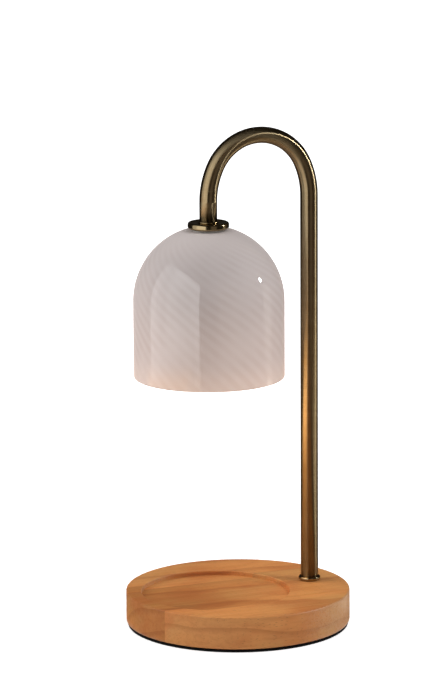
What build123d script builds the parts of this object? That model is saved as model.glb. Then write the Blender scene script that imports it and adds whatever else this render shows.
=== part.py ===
from build123d import *
import os
from math import asin, cos, degrees, radians, sin, sqrt

# Candle warmer lamp: a round wooden base, a bent brass arm and an opal glass shade round a halogen bulb.
#
# Frame: millimetres, +Z up, origin at the centre of the base's underside, where the lamp stands.
# The arm lies in the XZ plane: the post rises at +X and the shade hangs at -X over the candle recess.
# The bulb's pins stand along Y. Its bayonet turn is about the shade's axis.

# ---------------------------------------------------------------- driving dimensions
# Base
base_diameter = 150.0
wood_thickness = 22.0
wood_top_round = 1.0
wood_bottom_round = 1.8
recess_margin = 9.1  # base's edge to the recess's edge, opposite the post
recess_post_gap = 19.0  # recess's edge to the post's axis
post_inset = 22.5  # post's axis to the base's edge
recess_depth = 3.0
recess_lip_round = 0.6
pad_thickness = 2.0
pad_inset = 1.0
pad_round = 0.5

# Wiring pocket in the base's underside
pocket_depth = 12.0
pocket_width = 40.0
pocket_corner = 6.0
pocket_end_room = 3.0  # beyond the post's washer
terminal_room = 7.0  # between the pocket's end and the terminal block

# Arm
tube_diameter = 11.8
tube_wall = 1.25
shade_reach = 3.5  # shade's axis beyond the recess's centre
leg_length = 12.9  # straight tube between the cap and the bend
bend_side_radius = 53.7  # where the tube leaves the straight
bend_side_turn = 25.0  # turn on each side before the tighter crown
collar_diameter = 14.8
collar_height = 3.0
collar_round = 1.3

# Hollow M10 x 1 studs that screw into the tube's ends, and their nuts
thread_diameter = 10.0
thread_depth = 14.0
stud_bore = 7.0
stud_overhang = 0.5
nut_width = 14.0
post_nut_height = 4.0
post_washer_diameter = 22.0
post_washer_height = 1.5
shade_nut_height = 4.0
bracket_nut_height = 3.0

# Glass shade
shade_diameter = 100.0
shade_thickness = 3.0
shade_rim_height = 170.5
shade_wall_height = 51.2  # rim to the start of the dome
shade_flat_diameter = 33.0
shade_shoulder_round = 12.0
shade_rim_round = 1.3

# Cap ring on top of the shade
cap_diameter = 27.4
cap_height = 4.4
cap_round = 1.5
cap_gap = 1.2  # between the brass and the glass
cap_groove = 0.8
neck_diameter = 13.6
neck_height = 0.6
tube_seat_depth = 2.4

# What clamps the glass from below
gasket_diameter = 21.0
gasket_thickness = 1.1
gasket_recess = 0.8
clamp_plate_diameter = 26.0
clamp_plate_height = 1.5

# Lamp holder and its bracket
bracket_thickness = 1.2
bracket_width = 12.0
bracket_drop = 11.0  # bracket's top to the holder's top
bracket_foot = 6.0
bracket_bend_round = 0.5
holder_width = 18.0
holder_margin = 0.8  # from the bracket's foot to the holder's end
holder_corner = 3.0
holder_body_height = 13.5
face_plate = 2.3
head_room = 4.4
holder_screw = 3.0
holder_screw_head = 5.4
holder_screw_head_height = 1.8
holder_screw_reach = 4.0  # into the face
contact_size = 3.6
contact_thickness = 0.6
contact_gap = 0.2
stem_size = 1.6
stem_height = 7.0

# Bulb: a 50 mm reflector lamp with a bayonet base
pin_spacing = 10.0
pin_diameter = 3.0
pin_head_diameter = 5.0
pin_head_height = 2.3
pin_embed = 5.0
twist_angle = 25.0
bulb_base_diameter = 21.0
bulb_base_height = 15.0
bulb_base_roof = 6.0
bulb_neck_diameter = 17.0
bulb_neck_room = 2.0  # between the neck's end and the base's roof
bulb_diameter = 50.0
reflector_height = 27.0  # base to the start of the rim
reflector_bulge = 2.4
bulb_rim_height = 4.0
bulb_wall = 1.5
lens_thickness = 2.0
lens_inset = 0.5
capsule_diameter = 8.0
capsule_length = 22.0
capsule_wall = 0.7
cement_height = 5.0
filament_diameter = 1.2
bulb_wire_diameter = 0.7
bulb_wire_bend = 0.6
filament_drop = 17.0  # filament below the capsule's open end

# Leads, terminal block and cord inlet
lead_diameter = 1.7
lead_offset = 2.3  # each lead to the tube's axis
lead_bend = 3.4
lead_ease = 3.0
lead_drop = 1.2
terminal_post_gap = 32.5  # block's centre to the post's axis
terminal_length = 18.0
terminal_width = 20.0
terminal_height = 10.0
terminal_corner = 1.5
terminal_pitch = 9.0
barrel_diameter = 5.0
barrel_wall = 1.4
barrel_inset = 1.0
terminal_screw = 2.6
terminal_screw_spacing = 10.0
terminal_screw_head = 0.8
wood_screw = 2.6
wood_screw_head = 5.0
wood_screw_head_height = 1.6
wood_screw_reach = 4.5
inlet_diameter = 8.0
inlet_bore = 5.6
inlet_flange = 11.0
inlet_flange_depth = 1.5
inlet_inset = 0.5
inlet_lip = 0.6
inlet_lip_depth = 1.0

# Clearances
slip = 0.1  # between pieces that screw or push together
free = 0.3  # between pieces that move or only pass each other

# ---------------------------------------------------------------- worked out from them
base_radius = base_diameter / 2
wood_bottom = pad_thickness
wood_top = wood_bottom + wood_thickness
recess_diameter = base_diameter - recess_margin - recess_post_gap - post_inset
recess_x = recess_margin + recess_diameter / 2 - base_radius
recess_floor = wood_top - recess_depth
pocket_ceiling = wood_bottom + pocket_depth

post_x = base_radius - post_inset
shade_x = recess_x - shade_reach
bend_x = (post_x + shade_x) / 2
bend_side_lean = cos(radians(bend_side_turn))
crown_radius = ((post_x - shade_x) / 2 - bend_side_radius * (1 - bend_side_lean)) / bend_side_lean
tube_radius = tube_diameter / 2
tube_bore = tube_radius - tube_wall
tapped_radius = thread_diameter / 2
stud_radius = tapped_radius - slip
stud_hole = tapped_radius + slip
gasket_radius = gasket_diameter / 2

shade_radius = shade_diameter / 2
dome_centre = shade_rim_height + shade_wall_height
glass_top = dome_centre + sqrt(shade_radius**2 - (shade_flat_diameter / 2) ** 2)
glass_underside = glass_top - shade_thickness
cap_bottom = glass_top + cap_gap
cap_top = cap_bottom + cap_height
tube_end = cap_top - tube_seat_depth
spring_height = cap_top + leg_length
crown_height = spring_height + (bend_side_radius - crown_radius) * sin(radians(bend_side_turn))

# The stack on the shade's stud, from the glass down
lower_gasket_bottom = glass_underside - gasket_thickness
clamp_plate_bottom = lower_gasket_bottom - clamp_plate_height
shade_nut_bottom = clamp_plate_bottom - shade_nut_height
bracket_plate_bottom = shade_nut_bottom - bracket_thickness
bracket_nut_bottom = bracket_plate_bottom - bracket_nut_height
shade_stud_bottom = bracket_nut_bottom - stud_overhang

holder_top = shade_nut_bottom - bracket_drop
face_top = holder_top - holder_body_height
seat = face_top - head_room - face_plate
nut_corner = nut_width / sqrt(3)
leg_inside = nut_corner + slip
leg_outside = leg_inside + bracket_thickness
foot_end = leg_outside + bracket_foot
holder_screw_x = (leg_outside + foot_end) / 2
holder_length = 2 * (foot_end + holder_margin)

pin_radius = pin_spacing / 2
pin_head_bottom = seat + face_plate + contact_gap
pin_head_top = pin_head_bottom + pin_head_height
contact_bottom = pin_head_top + contact_gap
stem_top = contact_bottom + stem_height
locked_angle = 90.0
bulb_top = seat - free
bulb_base_bottom = bulb_top - bulb_base_height
bulb_base_ceiling = bulb_top - bulb_base_roof
bulb_neck_top = bulb_base_ceiling - bulb_neck_room
bulb_neck_radius = bulb_neck_diameter / 2
bulb_radius = bulb_diameter / 2
bulb_rim_top = bulb_base_bottom - reflector_height
bulb_front = bulb_rim_top - bulb_rim_height
capsule_radius = capsule_diameter / 2
capsule_bore = capsule_radius - capsule_wall
capsule_top = bulb_neck_top
filament_z = capsule_top - filament_drop
bulb_wire_y = capsule_bore - bulb_wire_diameter / 2 - free

post_washer_bottom = pocket_ceiling - post_washer_height
post_nut_bottom = post_washer_bottom - post_nut_height
post_stud_bottom = post_nut_bottom - stud_overhang
terminal_x = post_x - terminal_post_gap
terminal_bottom = pocket_ceiling - terminal_height
terminal_z = pocket_ceiling - terminal_height / 2
terminal_end = terminal_x + terminal_length / 2
pocket_start = terminal_x - terminal_length / 2 - terminal_room
pocket_end = post_x + post_washer_diameter / 2 + pocket_end_room
pocket_x = (pocket_start + pocket_end) / 2
inlet_z = (wood_bottom + pocket_ceiling) / 2
inlet_face = base_radius - inlet_inset
lead_z = post_stud_bottom - lead_bend

# Profiles of round pieces are drawn as (radius, height) on a plane through their axis.
shade_plane = Plane(origin=(shade_x, 0, 0), x_dir=(1, 0, 0), z_dir=(0, -1, 0))
pin_plane = Plane(origin=(shade_x, 0, 0), x_dir=(0, 1, 0), z_dir=(1, 0, 0))
shade_axis = Axis((shade_x, 0, 0), (0, 0, 1))
inlet_axis = Axis((0, 0, inlet_z), (1, 0, 0))

os.makedirs("parts", exist_ok=True)

# ---------------------------------------------------------------- base
with BuildPart() as wood_base:
    with BuildSketch(Plane.XY.offset(wood_bottom)):
        Circle(base_radius)
    extrude(amount=wood_thickness)
    fillet(wood_base.edges().group_by(Axis.Z)[-1], wood_top_round)
    fillet(wood_base.edges().group_by(Axis.Z)[0], wood_bottom_round)
    # Candle recess, with its mouth eased
    with BuildSketch(Plane.XY.offset(recess_floor)):
        with Locations((recess_x, 0)):
            Circle(recess_diameter / 2)
    extrude(amount=recess_depth, mode=Mode.SUBTRACT)
    recess_rims = wood_base.edges(Select.LAST).filter_by(GeomType.CIRCLE)
    fillet(recess_rims.sort_by(Axis.Z)[-1], recess_lip_round)
    # Wiring pocket
    with BuildSketch(Plane.XY.offset(wood_bottom)):
        with Locations((pocket_x, 0)):
            RectangleRounded(pocket_end - pocket_start, pocket_width, pocket_corner)
    extrude(amount=pocket_depth, mode=Mode.SUBTRACT)
    # Hole for the post's stud
    with BuildSketch(Plane.XY.offset(pocket_ceiling)):
        with Locations((post_x, 0)):
            Circle(stud_hole)
    extrude(amount=wood_top - pocket_ceiling, mode=Mode.SUBTRACT)
    # Pilot hole for the terminal block's screw
    with BuildSketch(Plane.XY.offset(pocket_ceiling)):
        with Locations((terminal_x, 0)):
            Circle(wood_screw / 2 + slip)
    extrude(amount=wood_screw_reach + slip, mode=Mode.SUBTRACT)
    # Cord inlet through the rear wall, counterbored for the grommet's flange
    with BuildSketch(Plane(origin=(pocket_x, 0, inlet_z), z_dir=(1, 0, 0))):
        Circle(inlet_diameter / 2 + slip)
    extrude(amount=base_radius - pocket_x, mode=Mode.SUBTRACT)
    with BuildSketch(Plane(origin=(inlet_face - inlet_flange_depth, 0, inlet_z), z_dir=(1, 0, 0))):
        Circle(inlet_flange / 2 + slip)
    extrude(amount=base_radius - inlet_face + inlet_flange_depth, mode=Mode.SUBTRACT)
wood_base.part.label = "wood_base"
export_step(wood_base.part, "parts/wood_base.step")

with BuildPart() as base_pad:
    with BuildSketch():
        Circle(base_radius - pad_inset)
    extrude(amount=pad_thickness)
    fillet(base_pad.edges().filter_by(GeomType.CIRCLE), pad_round)
base_pad.part.label = "base_pad"
export_step(base_pad.part, "parts/base_pad.step")

with BuildPart() as cord_grommet:
    # Half section beside the inlet's axis: flange outside, snap lip inside the pocket
    with BuildSketch(Plane(origin=(0, 0, inlet_z), x_dir=(1, 0, 0), z_dir=(0, -1, 0))):
        with BuildLine():
            Polyline(
                (pocket_end - inlet_lip_depth, inlet_bore / 2),
                (inlet_face, inlet_bore / 2),
                (inlet_face, inlet_flange / 2),
                (inlet_face - inlet_flange_depth, inlet_flange / 2),
                (inlet_face - inlet_flange_depth, inlet_diameter / 2),
                (pocket_end, inlet_diameter / 2),
                (pocket_end, inlet_diameter / 2 + inlet_lip),
                (pocket_end - inlet_lip_depth, inlet_diameter / 2),
                close=True,
            )
        make_face()
    revolve(axis=inlet_axis)
cord_grommet.part.label = "cord_grommet"
export_step(cord_grommet.part, "parts/cord_grommet.step")

# ---------------------------------------------------------------- terminal block under the recess
with BuildPart() as terminal_block:
    with BuildSketch(Plane.XY.offset(terminal_bottom)):
        with Locations((terminal_x, 0)):
            RectangleRounded(terminal_length, terminal_width, terminal_corner)
    extrude(amount=terminal_height)
    # A way right through for each conductor's barrel
    with BuildSketch(Plane(origin=(terminal_end, 0, terminal_z), x_dir=(0, 1, 0), z_dir=(1, 0, 0))):
        with GridLocations(terminal_pitch, 0, 2, 1):
            Circle(barrel_diameter / 2 + slip)
    extrude(amount=-terminal_length, mode=Mode.SUBTRACT)
    # Wells for the clamping screws, and the fixing hole between the ways
    with BuildSketch(Plane.XY.offset(terminal_bottom)):
        with Locations((terminal_x, 0)):
            with GridLocations(terminal_screw_spacing, terminal_pitch, 2, 2):
                Circle(terminal_screw / 2 + slip)
    extrude(amount=terminal_height / 2, mode=Mode.SUBTRACT)
    with BuildSketch(Plane.XY.offset(terminal_bottom)):
        with Locations((terminal_x, 0)):
            Circle(wood_screw / 2 + slip)
    extrude(amount=terminal_height, mode=Mode.SUBTRACT)
terminal_block.part.label = "terminal_block"
export_step(terminal_block.part, "parts/terminal_block.step")

barrel_length = terminal_length - 2 * barrel_inset
barrel_bore = barrel_diameter / 2 - barrel_wall
barrel_mouth = terminal_end - barrel_inset
with BuildPart() as terminal_barrels:
    with BuildSketch(Plane(origin=(barrel_mouth, 0, terminal_z), x_dir=(0, 1, 0), z_dir=(1, 0, 0))):
        with GridLocations(terminal_pitch, 0, 2, 1):
            Circle(barrel_diameter / 2)
            Circle(barrel_bore, mode=Mode.SUBTRACT)
    extrude(amount=-barrel_length)
    with BuildSketch(Plane.XY.offset(terminal_bottom)):
        with Locations((terminal_x, 0)):
            with GridLocations(terminal_screw_spacing, terminal_pitch, 2, 2):
                Circle(terminal_screw / 2 + slip)
    extrude(amount=terminal_height / 2, mode=Mode.SUBTRACT)
terminal_barrels.part.label = "terminal_barrels"
export_step(terminal_barrels.part, "parts/terminal_barrels.step")

# Each screw bears on its conductor; its head stays sunk in the well
terminal_screw_top = terminal_z - lead_diameter / 2 - slip
with BuildPart() as terminal_screws:
    with BuildSketch(Plane.XY.offset(terminal_bottom + terminal_screw_head)):
        with Locations((terminal_x, 0)):
            with GridLocations(terminal_screw_spacing, terminal_pitch, 2, 2):
                Circle(terminal_screw / 2)
    extrude(amount=terminal_screw_top - terminal_bottom - terminal_screw_head)
terminal_screws.part.label = "terminal_screws"
export_step(terminal_screws.part, "parts/terminal_screws.step")

with BuildPart() as terminal_fixing_screw:
    with BuildSketch(Plane.XY.offset(terminal_bottom)):
        with Locations((terminal_x, 0)):
            Circle(wood_screw / 2)
    extrude(amount=terminal_height + wood_screw_reach)
    with BuildSketch(Plane.XY.offset(terminal_bottom)):
        with Locations((terminal_x, 0)):
            Circle(wood_screw_head / 2)
    extrude(amount=-wood_screw_head_height)
terminal_fixing_screw.part.label = "terminal_fixing_screw"
export_step(terminal_fixing_screw.part, "parts/terminal_fixing_screw.step")

# ---------------------------------------------------------------- post's foot
with BuildPart() as post_washer:
    with BuildSketch(Plane.XY.offset(post_washer_bottom)):
        with Locations((post_x, 0)):
            Circle(post_washer_diameter / 2)
            Circle(stud_hole, mode=Mode.SUBTRACT)
    extrude(amount=post_washer_height)
post_washer.part.label = "post_washer"
export_step(post_washer.part, "parts/post_washer.step")

with BuildPart() as post_nut:
    with BuildSketch(Plane.XY.offset(post_nut_bottom)):
        with Locations((post_x, 0)):
            RegularPolygon(nut_width / 2, 6, major_radius=False)
            Circle(tapped_radius, mode=Mode.SUBTRACT)
    extrude(amount=post_nut_height)
post_nut.part.label = "post_nut"
export_step(post_nut.part, "parts/post_nut.step")

with BuildPart() as post_stud:
    with BuildSketch(Plane.XY.offset(post_stud_bottom)):
        with Locations((post_x, 0)):
            Circle(stud_radius)
            Circle(stud_bore / 2, mode=Mode.SUBTRACT)
    extrude(amount=wood_top + thread_depth - free - post_stud_bottom)
post_stud.part.label = "post_stud"
export_step(post_stud.part, "parts/post_stud.step")

with BuildPart() as post_collar:
    with BuildSketch(Plane.XY.offset(wood_top)):
        with Locations((post_x, 0)):
            Circle(collar_diameter / 2)
    extrude(amount=collar_height)
    fillet(post_collar.edges().filter_by(GeomType.CIRCLE), collar_round)
    with BuildSketch(Plane.XY.offset(wood_top)):
        with Locations((post_x, 0)):
            Circle(tube_radius + slip)
    extrude(amount=collar_height, mode=Mode.SUBTRACT)
post_collar.part.label = "post_collar"
export_step(post_collar.part, "parts/post_collar.step")

# ---------------------------------------------------------------- arm
with BuildLine(Plane.XZ) as bend:
    # Gentle at its sides and tighter over its crown
    CenterArc((post_x - bend_side_radius, spring_height), bend_side_radius, 0, bend_side_turn)
    CenterArc((bend_x, crown_height), crown_radius, bend_side_turn, 180 - 2 * bend_side_turn)
    CenterArc((shade_x + bend_side_radius, spring_height), bend_side_radius, 180 - bend_side_turn, bend_side_turn)

with BuildPart() as arm_tube:
    # Up the post, over the bend and down to the seat in the shade's cap
    with BuildLine() as arm_route:
        Line((post_x, 0, wood_top), (post_x, 0, spring_height))
        add(bend.line)
        Line((shade_x, 0, spring_height), (shade_x, 0, tube_end))
    with BuildSketch(Plane.XY.offset(wood_top)):
        with Locations((post_x, 0)):
            Circle(tube_radius)
            Circle(tube_bore, mode=Mode.SUBTRACT)
    sweep(path=arm_route.wire())
    # Both ends are tapped for a stud
    with BuildSketch(Plane.XY.offset(wood_top)):
        with Locations((post_x, 0)):
            Circle(tapped_radius)
    extrude(amount=thread_depth, mode=Mode.SUBTRACT)
    with BuildSketch(Plane.XY.offset(tube_end)):
        with Locations((shade_x, 0)):
            Circle(tapped_radius)
    extrude(amount=thread_depth, mode=Mode.SUBTRACT)
arm_tube.part.label = "arm_tube"
export_step(arm_tube.part, "parts/arm_tube.step")

# ---------------------------------------------------------------- leads inside the arm
# Each runs from its terminal barrel, under the post's nut, up the tube, over the bend,
# down through the shade's stud and out to its contact stem in the lamp holder.
lead_end = stem_top + slip
lead_entry = terminal_x + free
ease_start = terminal_end + lead_ease
ease_end = ease_start + terminal_z - lead_z + lead_ease
splay_end = holder_top + lead_drop
for name, side in (("live_lead", 1), ("neutral_lead", -1)):
    barrel_y = side * terminal_pitch / 2
    tube_y = side * lead_offset
    stem_y = side * pin_radius
    with BuildPart() as lead:
        with BuildLine() as lead_route:
            FilletPolyline(
                (lead_entry, barrel_y, terminal_z),
                (ease_start, barrel_y, terminal_z),
                (ease_end, tube_y, lead_z),
                (post_x, tube_y, lead_z),
                (post_x, tube_y, spring_height),
                radius=[lead_ease, lead_ease, lead_bend],
            )
            with Locations((0, tube_y, 0)):
                add(bend.line)
            FilletPolyline(
                (shade_x, tube_y, spring_height),
                (shade_x, tube_y, shade_stud_bottom),
                (shade_x, stem_y, splay_end),
                (shade_x, stem_y, lead_end),
                radius=[lead_drop, lead_drop],
            )
        with BuildSketch(Plane(origin=(lead_entry, barrel_y, terminal_z), z_dir=(1, 0, 0))):
            Circle(lead_diameter / 2)
        sweep(path=lead_route.wire())
    lead.part.label = name
    export_step(lead.part, f"parts/{name}.step")

# ---------------------------------------------------------------- cap, glass and clamp
cap_radius = cap_diameter / 2
cap_land = cap_radius - cap_round
neck_radius = neck_diameter / 2
groove_floor = cap_top - cap_groove
cap_seat_radius = tube_radius + slip
cap_recess_radius = gasket_radius + slip
with BuildPart() as shade_cap:
    with BuildSketch(shade_plane):
        with BuildLine():
            # Underside with the gasket's recess
            Polyline(
                (stud_hole, tube_end),
                (stud_hole, cap_bottom + gasket_recess),
                (cap_recess_radius, cap_bottom + gasket_recess),
                (cap_recess_radius, cap_bottom),
                (cap_land, cap_bottom),
            )
            # Rounded edge
            CenterArc((cap_land, cap_bottom + cap_round), cap_round, -90, 90)
            Line((cap_radius, cap_bottom + cap_round), (cap_radius, cap_top - cap_round))
            CenterArc((cap_land, cap_top - cap_round), cap_round, 0, 90)
            # Groove between the edge and the neck
            ThreePointArc(
                (cap_land, cap_top),
                ((cap_land + neck_radius) / 2, groove_floor),
                (neck_radius, cap_top - cap_groove / 2),
            )
            # Rounded neck round the tube, and the tube's seat
            ThreePointArc(
                (neck_radius, cap_top - cap_groove / 2),
                ((neck_radius + cap_seat_radius) / 2, cap_top + neck_height),
                (cap_seat_radius, cap_top),
            )
            Polyline((cap_seat_radius, cap_top), (cap_seat_radius, tube_end), (stud_hole, tube_end))
        make_face()
    revolve(axis=shade_axis)
shade_cap.part.label = "shade_cap"
export_step(shade_cap.part, "parts/shade_cap.step")

with BuildPart() as upper_gasket:
    with BuildSketch(Plane.XY.offset(glass_top)):
        with Locations((shade_x, 0)):
            Circle(gasket_radius)
            Circle(stud_hole, mode=Mode.SUBTRACT)
    extrude(amount=cap_gap + gasket_recess)
upper_gasket.part.label = "upper_gasket"
export_step(upper_gasket.part, "parts/upper_gasket.step")

with BuildPart() as glass_shade:
    # Straight wall, dome and flat top: the outside, then the inside cut away from it
    with BuildSketch(shade_plane):
        for radius, top, mode in (
            (shade_radius, glass_top, Mode.ADD),
            (shade_radius - shade_thickness, glass_underside, Mode.SUBTRACT),
        ):
            with BuildLine():
                Polyline((0, top), (0, shade_rim_height), (radius, shade_rim_height), (radius, dome_centre))
                dome = CenterArc((0, dome_centre), radius, 0, degrees(asin((top - dome_centre) / radius)))
                Line(dome @ 1, (0, top))
            make_face(mode=mode)
    revolve(axis=shade_axis)
    shoulder = glass_shade.edges().group_by(Axis.Z)[-1]
    fillet(shoulder, shade_shoulder_round)
    fillet(glass_shade.edges().group_by(Axis.Z)[0], shade_rim_round)
    # Hole for the stud
    with BuildSketch(Plane.XY.offset(glass_underside)):
        with Locations((shade_x, 0)):
            Circle(stud_hole + free)
    extrude(amount=shade_thickness, mode=Mode.SUBTRACT)
glass_shade.part.label = "glass_shade"
export_step(glass_shade.part, "parts/glass_shade.step")

with BuildPart() as lower_gasket:
    with BuildSketch(Plane.XY.offset(lower_gasket_bottom)):
        with Locations((shade_x, 0)):
            Circle(gasket_radius)
            Circle(stud_hole, mode=Mode.SUBTRACT)
    extrude(amount=gasket_thickness)
lower_gasket.part.label = "lower_gasket"
export_step(lower_gasket.part, "parts/lower_gasket.step")

with BuildPart() as clamp_plate:
    with BuildSketch(Plane.XY.offset(clamp_plate_bottom)):
        with Locations((shade_x, 0)):
            Circle(clamp_plate_diameter / 2)
            Circle(stud_hole, mode=Mode.SUBTRACT)
    extrude(amount=clamp_plate_height)
clamp_plate.part.label = "clamp_plate"
export_step(clamp_plate.part, "parts/clamp_plate.step")

with BuildPart() as shade_nut:
    with BuildSketch(Plane.XY.offset(shade_nut_bottom)):
        with Locations((shade_x, 0)):
            RegularPolygon(nut_width / 2, 6, major_radius=False)
            Circle(tapped_radius, mode=Mode.SUBTRACT)
    extrude(amount=shade_nut_height)
shade_nut.part.label = "shade_nut"
export_step(shade_nut.part, "parts/shade_nut.step")

with BuildPart() as bracket_nut:
    with BuildSketch(Plane.XY.offset(bracket_nut_bottom)):
        with Locations((shade_x, 0)):
            RegularPolygon(nut_width / 2, 6, major_radius=False)
            Circle(tapped_radius, mode=Mode.SUBTRACT)
    extrude(amount=bracket_nut_height)
bracket_nut.part.label = "bracket_nut"
export_step(bracket_nut.part, "parts/bracket_nut.step")

with BuildPart() as shade_stud:
    with BuildSketch(Plane.XY.offset(shade_stud_bottom)):
        with Locations((shade_x, 0)):
            Circle(stud_radius)
            Circle(stud_bore / 2, mode=Mode.SUBTRACT)
    extrude(amount=tube_end + thread_depth - free - shade_stud_bottom)
shade_stud.part.label = "shade_stud"
export_step(shade_stud.part, "parts/shade_stud.step")

# ---------------------------------------------------------------- lamp holder
foot_top = holder_top + bracket_thickness
with BuildPart() as holder_bracket:
    # A strip bent to a hat: plate on the stud, two legs and two feet on the holder
    with BuildSketch(shade_plane) as hat:
        with BuildLine():
            Polyline(
                (0, shade_nut_bottom),
                (leg_outside, shade_nut_bottom),
                (leg_outside, foot_top),
                (foot_end, foot_top),
                (foot_end, holder_top),
                (leg_inside, holder_top),
                (leg_inside, bracket_plate_bottom),
                (0, bracket_plate_bottom),
            )
            mirror(about=Plane.YZ)
        make_face()
        bends = hat.vertices().filter_by(lambda corner: abs(corner.X - shade_x) < foot_end - slip)
        fillet(bends, bracket_bend_round)
    extrude(amount=bracket_width / 2, both=True)
    with BuildSketch(Plane.XY.offset(bracket_plate_bottom)):
        with Locations((shade_x, 0)):
            Circle(stud_hole)
    extrude(amount=bracket_thickness, mode=Mode.SUBTRACT)
    with BuildSketch(Plane.XY.offset(holder_top)):
        with Locations((shade_x, 0)):
            with GridLocations(2 * holder_screw_x, 0, 2, 1):
                Circle(holder_screw / 2 + slip)
    extrude(amount=bracket_thickness, mode=Mode.SUBTRACT)
holder_bracket.part.label = "holder_bracket"
export_step(holder_bracket.part, "parts/holder_bracket.step")

with BuildPart() as holder_body:
    with BuildSketch(Plane.XY.offset(face_top)):
        with Locations((shade_x, 0)):
            RectangleRounded(holder_length, holder_width, holder_corner)
            with GridLocations(2 * holder_screw_x, 0, 2, 1):
                Circle(holder_screw / 2 + slip, mode=Mode.SUBTRACT)
            with GridLocations(0, pin_spacing, 1, 2):
                Rectangle(stem_size + 2 * slip, stem_size + 2 * slip, mode=Mode.SUBTRACT)
    extrude(amount=holder_body_height)
    # The leads enter from the top
    with BuildSketch(Plane.XY.offset(stem_top)):
        with Locations((shade_x, 0)):
            with GridLocations(0, pin_spacing, 1, 2):
                Circle(lead_diameter / 2 + free)
    extrude(amount=holder_top - stem_top, mode=Mode.SUBTRACT)
holder_body.part.label = "holder_body"
export_step(holder_body.part, "parts/holder_body.step")

with BuildPart() as holder_face:
    with BuildSketch(Plane.XY.offset(seat)):
        with Locations((shade_x, 0)):
            RectangleRounded(holder_length, holder_width, holder_corner)
    extrude(amount=face_plate + head_room)
    # Two keyholes: a round entry, and a slot for the pin's shank along the twist
    with BuildSketch(Plane.XY.offset(seat)):
        with Locations((shade_x, 0)):
            for start in (locked_angle - twist_angle, locked_angle - twist_angle + 180):
                with PolarLocations(pin_radius, 1, start):
                    Circle(pin_head_diameter / 2 + free)
                twist = CenterArc((0, 0), pin_radius, start, twist_angle, mode=Mode.PRIVATE)
                SlotArc(twist, pin_diameter + 2 * free)
    extrude(amount=face_plate, mode=Mode.SUBTRACT)
    # Room behind them for the pins' heads
    with BuildSketch(Plane.XY.offset(seat + face_plate)):
        with Locations((shade_x, 0)):
            for start in (locked_angle - twist_angle, locked_angle - twist_angle + 180):
                twist = CenterArc((0, 0), pin_radius, start, twist_angle, mode=Mode.PRIVATE)
                SlotArc(twist, pin_head_diameter + 2 * free)
    extrude(amount=head_room, mode=Mode.SUBTRACT)
    with BuildSketch(Plane.XY.offset(face_top - holder_screw_reach - slip)):
        with Locations((shade_x, 0)):
            with GridLocations(2 * holder_screw_x, 0, 2, 1):
                Circle(holder_screw / 2 + slip)
    extrude(amount=holder_screw_reach + slip, mode=Mode.SUBTRACT)
holder_face.part.label = "holder_face"
export_step(holder_face.part, "parts/holder_face.step")

with BuildPart() as holder_screws:
    with BuildSketch(Plane.XY.offset(face_top - holder_screw_reach)):
        with Locations((shade_x, 0)):
            with GridLocations(2 * holder_screw_x, 0, 2, 1):
                Circle(holder_screw / 2)
    extrude(amount=foot_top - face_top + holder_screw_reach)
    with BuildSketch(Plane.XY.offset(foot_top)):
        with Locations((shade_x, 0)):
            with GridLocations(2 * holder_screw_x, 0, 2, 1):
                Circle(holder_screw_head / 2)
    extrude(amount=holder_screw_head_height)
holder_screws.part.label = "holder_screws"
export_step(holder_screws.part, "parts/holder_screws.step")

with BuildPart() as holder_contacts:
    # A leaf over each pin's head, on a stem that rises into the body
    with BuildSketch(Plane.XY.offset(contact_bottom)):
        with Locations((shade_x, 0)):
            with GridLocations(0, pin_spacing, 1, 2):
                Rectangle(contact_size, contact_size)
    extrude(amount=contact_thickness)
    with BuildSketch(Plane.XY.offset(contact_bottom)):
        with Locations((shade_x, 0)):
            with GridLocations(0, pin_spacing, 1, 2):
                Rectangle(stem_size, stem_size)
    extrude(amount=stem_height)
holder_contacts.part.label = "holder_contacts"
export_step(holder_contacts.part, "parts/holder_contacts.step")

# ---------------------------------------------------------------- bulb
with BuildPart() as bulb_pins:
    with BuildSketch(Plane.XY.offset(bulb_top - pin_embed)):
        with Locations((shade_x, 0)):
            with GridLocations(0, pin_spacing, 1, 2):
                Circle(pin_diameter / 2)
    extrude(amount=pin_embed + pin_head_bottom - bulb_top)
    with BuildSketch(Plane.XY.offset(pin_head_bottom)):
        with Locations((shade_x, 0)):
            with GridLocations(0, pin_spacing, 1, 2):
                Circle(pin_head_diameter / 2)
    extrude(amount=pin_head_height)
bulb_pins.part.label = "bulb_pins"
export_step(bulb_pins.part, "parts/bulb_pins.step")

with BuildPart() as bulb_base:
    with BuildSketch(Plane.XY.offset(bulb_base_bottom)):
        with Locations((shade_x, 0)):
            Circle(bulb_base_diameter / 2)
    extrude(amount=bulb_base_height)
    # Socket for the reflector's neck, and holes for the pins and their wires
    with BuildSketch(Plane.XY.offset(bulb_base_bottom)):
        with Locations((shade_x, 0)):
            Circle(bulb_neck_radius + slip)
    extrude(amount=bulb_base_ceiling - bulb_base_bottom, mode=Mode.SUBTRACT)
    with BuildSketch(Plane.XY.offset(bulb_base_ceiling)):
        with Locations((shade_x, 0)):
            with GridLocations(0, pin_spacing, 1, 2):
                Circle(pin_diameter / 2 + slip)
    extrude(amount=bulb_base_roof, mode=Mode.SUBTRACT)
bulb_base.part.label = "bulb_base"
export_step(bulb_base.part, "parts/bulb_base.step")

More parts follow.
